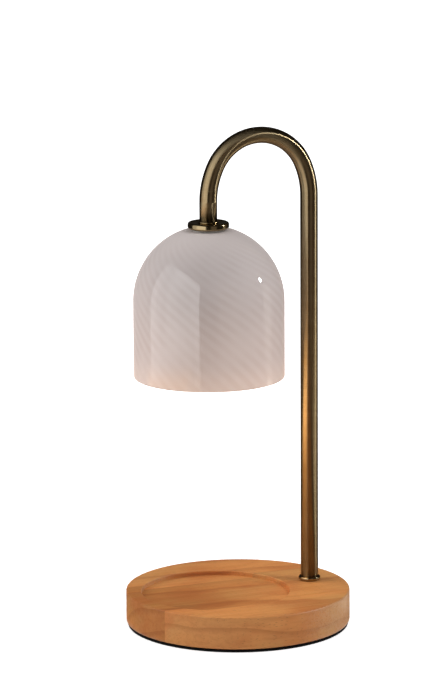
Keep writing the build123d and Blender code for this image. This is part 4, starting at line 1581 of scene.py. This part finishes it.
@dataclass
class Bulb:
    """The reflector bulb that turns in the holder.

    Args:
        wall: Wall of the bowl.
        neck: Radius of the bowl's neck.
        rim_height: Height of its straight rim.
        bulge: How far the bowl bulges beyond a straight cone.
        facets: Number of facets round the bowl.
        rows: Number of facets from the neck to the rim.
        facet_crease: Angle in degrees from which the bowl's edges show.
        lens_sides: Faces round the lens.
        dimples: Number of dimples per metre of the lens.
        coil_turns: Turns of the filament.
        coil_steps: Rings over each turn.
        coil_radius: Radius of its turns.
        wire: Radius of its wire.
        wire_sides: Faces round its wire.
    """

    wall: float = 0.0015
    neck: float = 0.0085
    rim_height: float = 0.004
    bulge: float = 0.0024
    facets: int = 40
    rows: int = 9
    facet_crease: float = 5.0
    lens_sides: int = 96
    dimples: float = 420.0
    coil_turns: int = 11
    coil_steps: int = 10
    coil_radius: float = 0.00047
    wire: float = 0.00013
    wire_sides: int = 8

    def make(self, bench: Bench) -> None:
        """Makes the bowl, the lens and the filament, and dresses the rest.

        Args:
            bench: The bench.
        """
        bowl = bench.piece(
            "faceted_bowl", self.bowl(), Mirror(), Body.BULB, Slot.MIRROR, ["bulb_reflector"],
            crease=self.facet_crease,
        )
        wall = bowl.modifiers.new("wall", "SOLIDIFY")
        wall.thickness = self.wall
        wall.offset = -1
        lens_glass = ClearGlass("dimpled_lens_glass", dimple=self.dimples)
        bench.piece("front_lens", self.lens(), lens_glass, Body.BULB, Slot.GLASS, ["bulb_lens"])
        coil = self.coil()
        bench.piece("coiled_filament", coil, GlowingTungsten(), Body.BULB, Slot.FILAMENT, ["bulb_filament"])
        bench.dress(ZincSteel(), "bulb_pins", "bulb_wires")
        bench.dress(Ceramic(), "bulb_base")
        bench.dress(Ceramic("fire_cement", (0.66, 0.62, 0.54), (0.40, 0.34, 0.26), 0.75), "capsule_cement")
        bench.dress(ClearGlass("quartz_capsule"), "bulb_capsule")

    def bowl(self) -> bmesh.types.BMesh:
        """Turns the bowl's outside in flat facets, from its neck to its rim.

        Returns:
            The outer surface.
        """
        box = Extent.of("bulb_reflector")
        base = Extent.of("bulb_base").low.z
        rim_top = box.low.z + self.rim_height
        slope = (box.radius - self.neck) / (base - rim_top)
        belly = ((self.neck + box.radius) / 2 + self.bulge, (base + rim_top) / 2 + self.bulge * slope)
        outline = Outline(box.middle.x, self.neck, box.high.z).line(self.neck, base)
        outline.bow(belly, (box.radius, rim_top), self.rows).line(box.radius, box.low.z)
        return outline.turn(self.facets)

    def lens(self) -> bmesh.types.BMesh:
        """Turns the front lens with an eased edge.

        Returns:
            Its shape.
        """
        box = Extent.of("bulb_lens")
        low, high, edge, ease = box.low.z, box.high.z, box.radius, (box.high.z - box.low.z) / 4
        outline = Outline(box.middle.x, 0, low).line(edge - ease, low).arc(edge - ease, low + ease, 90, 6)
        outline.line(edge, high - ease).arc(edge - ease, high - ease, 90, 6).line(0, high)
        return outline.turn(self.lens_sides)

    def coil(self) -> bmesh.types.BMesh:
        """Winds the filament's wire along Y.

        Returns:
            Its shape.
        """
        box = Extent.of("bulb_filament")
        middle = box.middle
        length = box.high.y - box.low.y - 4 * self.wire
        steps = self.coil_steps * self.coil_turns
        start = (middle.x + self.coil_radius, box.low.y + 2 * self.wire, middle.z)
        shape = bmesh.new()
        ring = bmesh.ops.create_circle(shape, segments=self.wire_sides, radius=self.wire)["verts"]
        bmesh.ops.translate(shape, verts=ring, vec=start)
        bmesh.ops.spin(
            shape, geom=shape.verts[:] + shape.edges[:], cent=(middle.x, middle.y, middle.z), axis=(0, -1, 0),
            dvec=(0, length / steps, 0), angle=self.coil_turns * math.tau, steps=steps,
            use_merge=False, use_duplicate=False,
        )
        bmesh.ops.holes_fill(shape, edges=shape.edges, sides=self.wire_sides)
        bmesh.ops.recalc_face_normals(shape, faces=shape.faces)
        return shape


# ---------------------------------------------------------------- studio


@dataclass(frozen=True)
class ViewPoint:
    """Where the camera stands.

    Args:
        azimuth: Degrees round the lamp; 0 looks along +Y.
        elevation: Degrees above the horizon.
        distance: Distance to the target.
        target: What it looks at.
        lens: Focal length in millimetres.
        sensor: Width of the sensor in millimetres.
        roll: Degrees that the picture is turned.
    """

    azimuth: float = -22.47
    elevation: float = 11.8
    distance: float = 2.6026
    target: tuple[float, float, float] = (-0.00929, 0.00384, 0.1869)
    lens: float = 201.9
    sensor: float = 36.0
    roll: float = -0.34

    def towards(self, across: float = 0.0, up: float | None = None) -> Vector:
        """Returns a direction seen from the lamp.

        Args:
            across: Degrees to the right of the camera, as the camera sees it.
            up: Degrees above the horizon, or the camera's own where left out.

        Returns:
            The unit direction.
        """
        turn = math.radians(self.azimuth - 90 + across)
        rise = math.radians(self.elevation if up is None else up)
        return Vector((math.cos(turn) * math.cos(rise), math.sin(turn) * math.cos(rise), math.sin(rise)))

    def place(self) -> None:
        """Adds the camera and makes it the scene's."""
        data = bpy.data.cameras.new("camera")
        data.lens = self.lens
        data.sensor_width = self.sensor
        data.dof.use_dof = False
        camera = bpy.data.objects.new("camera", data)
        bpy.context.scene.collection.objects.link(camera)
        turned = (-self.towards()).to_track_quat("-Z", "Y").to_matrix().to_4x4()
        roll = Matrix.Rotation(math.radians(self.roll), 4, "Z")
        spot = Vector(self.target) + self.towards() * self.distance
        camera.matrix_world = Matrix.Translation(spot) @ turned @ roll
        bpy.context.scene.camera = camera


@dataclass(frozen=True)
class Softbox:
    """A lamp that lights the object, or that its gloss alone reflects.

    Args:
        name: Its name.
        across: Degrees to the right of the camera, seen from the lamp.
        up: Degrees above the horizon.
        distance: Distance from its aim.
        width: Its width.
        height: Its height.
        watts: Its power.
        mirrored: Whether it is only seen in gloss, or only lights what isn't gloss.
    """

    name: str
    across: float
    up: float
    distance: float
    width: float
    height: float
    watts: float
    mirrored: bool = False

    def place(self, view: ViewPoint, aim: Vector) -> None:
        """Adds the lamp.

        Args:
            view: The camera's place, which the angles start from.
            aim: What the lamp points at.
        """
        data = bpy.data.lights.new(self.name, "AREA")
        data.shape = "ELLIPSE" if self.mirrored else "RECTANGLE"
        data.size, data.size_y = self.width, self.height
        data.energy = self.watts
        lamp = bpy.data.objects.new(self.name, data)
        bpy.context.scene.collection.objects.link(lamp)
        way = view.towards(self.across, self.up)
        turned = (-way).to_track_quat("-Z", "Y").to_matrix().to_4x4()
        lamp.matrix_world = Matrix.Translation(aim + way * self.distance) @ turned
        lamp.visible_glossy = self.mirrored
        lamp.visible_diffuse = not self.mirrored
        lamp.visible_camera = False


@dataclass(frozen=True)
class Glow:
    """A warm light near the shade's axis, as the lit bulb and the lit wax under it are.

    Args:
        name: Its name.
        size: Its width and height.
        watts: Its power.
        colour: Its colour.
        height: Its height over what it is placed from.
        faces: The way that it shines.
        out: How far it stands from the axis, that way.
        lights: Whether it lights the wood, or is only seen in gloss.
    """

    name: str
    size: tuple[float, float]
    watts: float
    colour: Colour
    height: float
    faces: tuple[float, float, float]
    out: float = 0.0
    lights: bool = False

    def place(self, axis_x: float, level: float) -> None:
        """Adds the light.

        Args:
            axis_x: Where the shade's axis stands.
            level: The height that its own height starts from.
        """
        data = bpy.data.lights.new(self.name, "AREA")
        data.shape = "RECTANGLE" if self.out else "ELLIPSE"
        data.size, data.size_y = self.size
        data.energy, data.color = self.watts, self.colour
        lamp = bpy.data.objects.new(self.name, data)
        bpy.context.scene.collection.objects.link(lamp)
        way = Vector(self.faces)
        turned = way.to_track_quat("-Z", "Y").to_matrix().to_4x4()
        spot = Vector((axis_x, 0, level + self.height)) + way * self.out
        lamp.matrix_world = Matrix.Translation(spot) @ turned
        lamp.visible_diffuse = self.lights
        lamp.visible_camera = False
        LOG.info("placed %s", self.name)


@dataclass(frozen=True)
class Card:
    """A patch of the surroundings that gloss reflects, by its directions seen from the lamp.

    Args:
        across: Degrees to the right of the camera where it starts and ends.
        fades: Degrees over which it fades in at its start and out at its end.
        up: Degrees above the horizon where it starts and ends.
        colour: Its colour and brightness.
        faces: Degrees to the right of the camera where it stands square to the eye, or none for a level top.
        rise: Height of its top over its distance, where faces is given.
        edge: Degrees over which its top and bottom fade.
    """

    across: tuple[float, float]
    fades: tuple[float, float]
    up: tuple[float, float]
    colour: Colour
    faces: float | None = None
    rise: float = 1.0
    edge: float = 2.0

    def mask(self, sketch: NodeSketch, across: Any, up: Any) -> bpy.types.NodeSocket:
        """Draws the card.

        Args:
            sketch: The material's sketch.
            across: Socket of the degrees to the right of the camera.
            up: Socket of the degrees above the horizon.

        Returns:
            A mask that is 1 on the card.
        """
        bottom, top = self.up
        if self.faces is not None:
            turn = sketch.maths("RADIANS", sketch.maths("SUBTRACT", across, self.faces))
            climb = sketch.maths("MULTIPLY", sketch.maths("COSINE", turn), self.rise)
            top = sketch.maths("DEGREES", sketch.maths("ARCTANGENT", climb))
        wide = self.inside(sketch, across, self.across, self.fades)
        high = self.inside(sketch, up, (bottom, top), (self.edge, self.edge))
        return sketch.maths("MULTIPLY", wide, high)

    def inside(
        self, sketch: NodeSketch, value: Any, ends: tuple[Any, Any], fades: tuple[float, float],
    ) -> bpy.types.NodeSocket:
        """Fades a strip in at its one end and out at its other.

        Args:
            sketch: The material's sketch.
            value: Socket of the degrees that run across the strip.
            ends: Where it starts and ends.
            fades: Degrees over which it fades at either end.

        Returns:
            A mask that is 1 inside the strip.
        """
        past = sketch.maths("SUBTRACT", value, ends[0])
        left = sketch.maths("SUBTRACT", ends[1], value)
        masks = [sketch.spread(way, -fade / 2, fade / 2) for way, fade in zip((past, left), fades)]
        return sketch.maths("MULTIPLY", *masks)


@dataclass
class Studio:
    """Pale floor, white surroundings, the lamps, and the tent and glows that only gloss reflects.

    Args:
        view: The camera's place.
        floor_radius: Radius of the floor.
        floor_pale: Colour of the floor.
        floor_drop: How far it lies below the lamp.
        floor_lift: Light added to the floor where it is seen, near the lamp, which makes it white.
        floor_far: The same far from the lamp.
        fade_out: Where the floor's light starts to grow, and where it has grown, in distance from the lamp.
        fill: Strength of the surroundings as a light.
        tent_radius: Radius of the tent that carries the cards.
        tent_height: Height of its lid.
        tent_gap: Room between its floor and the lamp's base.
        tent_lift: Height of its floor.
        sides: Faces round the floor and the tent.
        eye: Height that the cards' directions are seen from.
        dim: Colour of the tent between the cards.
        table: Colour of the tent's floor near the lamp.
        table_fade: Where the table starts to fade, and where it ends.
        cards: The cards, each over those before it.
        lamps: The soft lamps, and the one that only gloss shows.
        aim: What they point at.
        bulb: The bulb's own light, placed from its lens.
        wax: The glow of lit wax on the base, seen only in gloss, placed from the table.
    """

    view: ViewPoint
    floor_radius: float = 8.0
    floor_pale: Colour = (0.80, 0.80, 0.80)
    floor_drop: float = 0.0001
    floor_lift: float = 0.62
    floor_far: float = 1.1
    fade_out: tuple[float, float] = (0.16, 0.6)
    fill: float = 0.49
    tent_radius: float = 1.6
    tent_height: float = 3.0
    tent_gap: float = 0.004
    tent_lift: float = 0.0004
    sides: int = 96
    eye: float = 0.2
    dim: Colour = (0.03, 0.027, 0.024)
    table: Colour = (0.20, 0.140, 0.100)
    table_fade: tuple[float, float] = (0.25, 1.0)
    cards: tuple[Card, ...] = (
        # A dim wall beside the camera
        Card((14.0, 46.0), (5.0, 6.0), (-40.0, 40.0), (0.23, 0.20, 0.17), edge=20.0),
        # The wall's paler end at the right, and the light table below it
        Card((91.0, 107.0), (6.0, 8.0), (-16.0, 14.0), (0.56, 0.54, 0.49), edge=8.0),
        Card((97.0, 111.0), (4.0, 6.0), (-62.0, -17.4), (2.50, 2.28, 1.86), edge=2.5),
        # A window at the left, brighter where its curtain is drawn back
        Card((-97.0, -15.0), (2.0, 1.5), (-20.0, 0.0), (1.15, 1.15, 1.15), faces=-68.0, rise=1.06, edge=3.0),
        Card((-68.0, -15.0), (14.0, 1.5), (-13.0, 0.0), (1.95, 1.95, 1.95), faces=-68.0, rise=1.06, edge=5.0),
        # The table at the left, warm from the lit wax, hot at its far side and pale towards the camera
        Card((-104.0, -27.0), (10.0, 8.0), (-75.0, -16.5), (0.60, 0.34, 0.13), edge=2.5),
        Card((-104.0, -27.0), (10.0, 8.0), (-25.0, -16.2), (1.70, 0.92, 0.36), edge=5.0),
        Card((-34.0, -14.0), (6.0, 4.0), (-60.0, -16.5), (1.05, 0.80, 0.56), edge=3.0),
    )
    lamps: tuple[Softbox, ...] = (
        Softbox("left_softbox", -105.0, 25.0, 1.3, 0.8, 0.9, 10.2),
        Softbox("right_softbox", 80.0, 48.0, 1.2, 0.35, 0.35, 5.6),
        Softbox("right_key", 95.5, 23.5, 1.2, 0.100, 0.105, 6.0, mirrored=True),
    )
    aim: tuple[float, float, float] = (0.0, 0.0, 0.17)
    bulb: Glow = Glow(
        "bulb_light", (0.042, 0.042), 0.022, (1.0, 0.70, 0.42), -0.0008, (0, 0, -1), lights=True,
    )
    wax: tuple[Glow, ...] = (
        Glow("wax_pool", (0.080, 0.080), 0.030, (1.0, 0.72, 0.46), 0.095, (0, 0, 1)),
        Glow("wax_wall", (0.050, 0.027), 0.0125, (1.0, 0.56, 0.22), 0.1085, (1, 0, 0), out=0.036),
        Glow("wax_foot", (0.050, 0.060), 0.0105, (1.0, 0.52, 0.17), 0.065, (1, 0, 0), out=0.036),
    )

    def make(self) -> None:
        """Sets up the surroundings, the floor, the cards and the lamps."""
        bpy.context.scene.view_settings.view_transform = "Standard"
        self.surroundings()
        self.floor()
        self.tent()
        for lamp in self.lamps:
            lamp.place(self.view, Vector(self.aim))
            LOG.info("placed %s", lamp.name)
        lens = Extent.of("bulb_lens")
        self.bulb.place(lens.middle.x, lens.low.z)
        for glow in self.wax:
            glow.place(lens.middle.x, 0.0)

    def seen(self, sketch: NodeSketch) -> bpy.types.NodeSocket:
        """Masks the rays that show the background: to the camera, in gloss and through glass.

        Args:
            sketch: The sketch of the world or of a material.

        Returns:
            A mask that is 1 for those rays.
        """
        path = sketch.add("ShaderNodeLightPath").outputs
        gloss = sketch.maths("MAXIMUM", path["Is Glossy Ray"], path["Is Transmission Ray"])
        return sketch.maths("MAXIMUM", path["Is Camera Ray"], gloss)

    def surroundings(self) -> None:
        """Makes the world white where it is seen, and a plain fill light elsewhere."""
        world = bpy.data.worlds.new("surroundings")
        world.use_nodes = True
        bpy.context.scene.world = world
        sketch = NodeSketch(world.node_tree)
        level = sketch.maths("MAXIMUM", self.seen(sketch), self.fill)
        sketch.feed(world.node_tree.nodes["Background"], {"Color": (1.0, 1.0, 1.0, 1.0), "Strength": level})

    def floor(self) -> None:
        """Lays the floor, which keeps the lamp's shadow and shows nothing from below."""
        material = bpy.data.materials.new("pale_floor")
        material.use_nodes = True
        sketch = NodeSketch(material.node_tree)
        surface = material.node_tree.nodes["Principled BSDF"]
        away = sketch.add("ShaderNodeVectorMath", {0: sketch.place()}, operation="LENGTH").outputs["Value"]
        grown = sketch.spread(away, *self.fade_out, self.floor_lift, self.floor_far)
        lift = sketch.maths("MULTIPLY", self.seen(sketch), grown)
        sketch.feed(surface, {
            "Base Color": (*self.floor_pale, 1.0), "Roughness": 1.0, "Specular IOR Level": 0.0,
            "Emission Color": (1.0, 1.0, 1.0, 1.0), "Emission Strength": lift,
        })
        clear = sketch.add("ShaderNodeBsdfTransparent").outputs[0]
        under = sketch.add("ShaderNodeNewGeometry").outputs["Backfacing"]
        mixed = sketch.add("ShaderNodeMixShader", {0: under, 1: surface.outputs[0], 2: clear})
        sketch.feed(material.node_tree.nodes["Material Output"], {"Surface": mixed.outputs[0]})
        shape = bmesh.new()
        bmesh.ops.create_circle(shape, cap_ends=True, segments=self.sides, radius=self.floor_radius)
        bmesh.ops.translate(shape, verts=shape.verts, vec=(0, 0, -self.floor_drop))
        self.stage("floor", shape, material)

    def tent(self) -> None:
        """Pitches a tent round the lamp that only gloss can see: dim, with the cards on it."""
        material = bpy.data.materials.new("tent_with_cards")
        material.use_nodes = True
        sketch = NodeSketch(material.node_tree)
        axes = sketch.add("ShaderNodeSeparateXYZ", {0: sketch.place()}).outputs
        angle = sketch.maths("DEGREES", sketch.maths("ARCTAN2", axes["Y"], axes["X"]))
        across = sketch.maths("WRAP", sketch.maths("SUBTRACT", angle, self.view.azimuth - 90), 180.0, -180.0)
        squares = [sketch.maths("MULTIPLY", axes[axis], axes[axis]) for axis in "XY"]
        away = sketch.maths("SQRT", sketch.maths("ADD", *squares))
        climb = sketch.maths("SUBTRACT", axes["Z"], self.eye)
        up = sketch.maths("DEGREES", sketch.maths("ARCTAN2", climb, away))
        level = sketch.maths("LESS_THAN", axes["Z"], 2 * self.tent_lift)
        near = sketch.maths("MULTIPLY", sketch.spread(away, *self.table_fade, 1.0, 0.0), level)
        tone: Any = sketch.blend(near, self.dim, self.table)
        for card in self.cards:
            tone = sketch.blend(card.mask(sketch, across, up), tone, card.colour)
        glow = sketch.add("ShaderNodeEmission", {"Color": tone})
        sketch.feed(material.node_tree.nodes["Material Output"], {"Surface": glow.outputs[0]})
        inner = Extent.of("wood_base").radius + self.tent_gap
        outline = Outline(0, inner, self.tent_lift).line(self.tent_radius, self.tent_lift)
        outline.line(self.tent_radius, self.tent_height).line(0, self.tent_height)
        tent = self.stage("tent", outline.turn(self.sides), material)
        for kind in ("camera", "diffuse", "transmission", "volume_scatter", "shadow"):
            setattr(tent, f"visible_{kind}", False)

    def stage(self, name: str, shape: bmesh.types.BMesh, material: bpy.types.Material) -> bpy.types.Object:
        """Adds a piece of the studio.

        Args:
            name: Its name.
            shape: Its shape, which is freed.
            material: Its material.

        Returns:
            Its object.
        """
        mesh = bpy.data.meshes.new(name)
        shape.to_mesh(mesh)
        shape.free()
        mesh.materials.append(material)
        piece = bpy.data.objects.new(name, mesh)
        bpy.context.scene.collection.objects.link(piece)
        return piece


def main() -> None:
    """Builds the studio and dresses the lamp, part by part."""
    logging.basicConfig(level=logging.INFO, format="%(name)s: %(message)s")
    view = ViewPoint()
    view.place()
    Studio(view).make()
    bench = Bench()
    for part in (Base(), Arm(), Shade(), Holder(), Wiring(), Bulb()):
        LOG.info("making the %s", type(part).__name__.lower())
        part.make(bench)


if __name__ == "__main__":
    main()
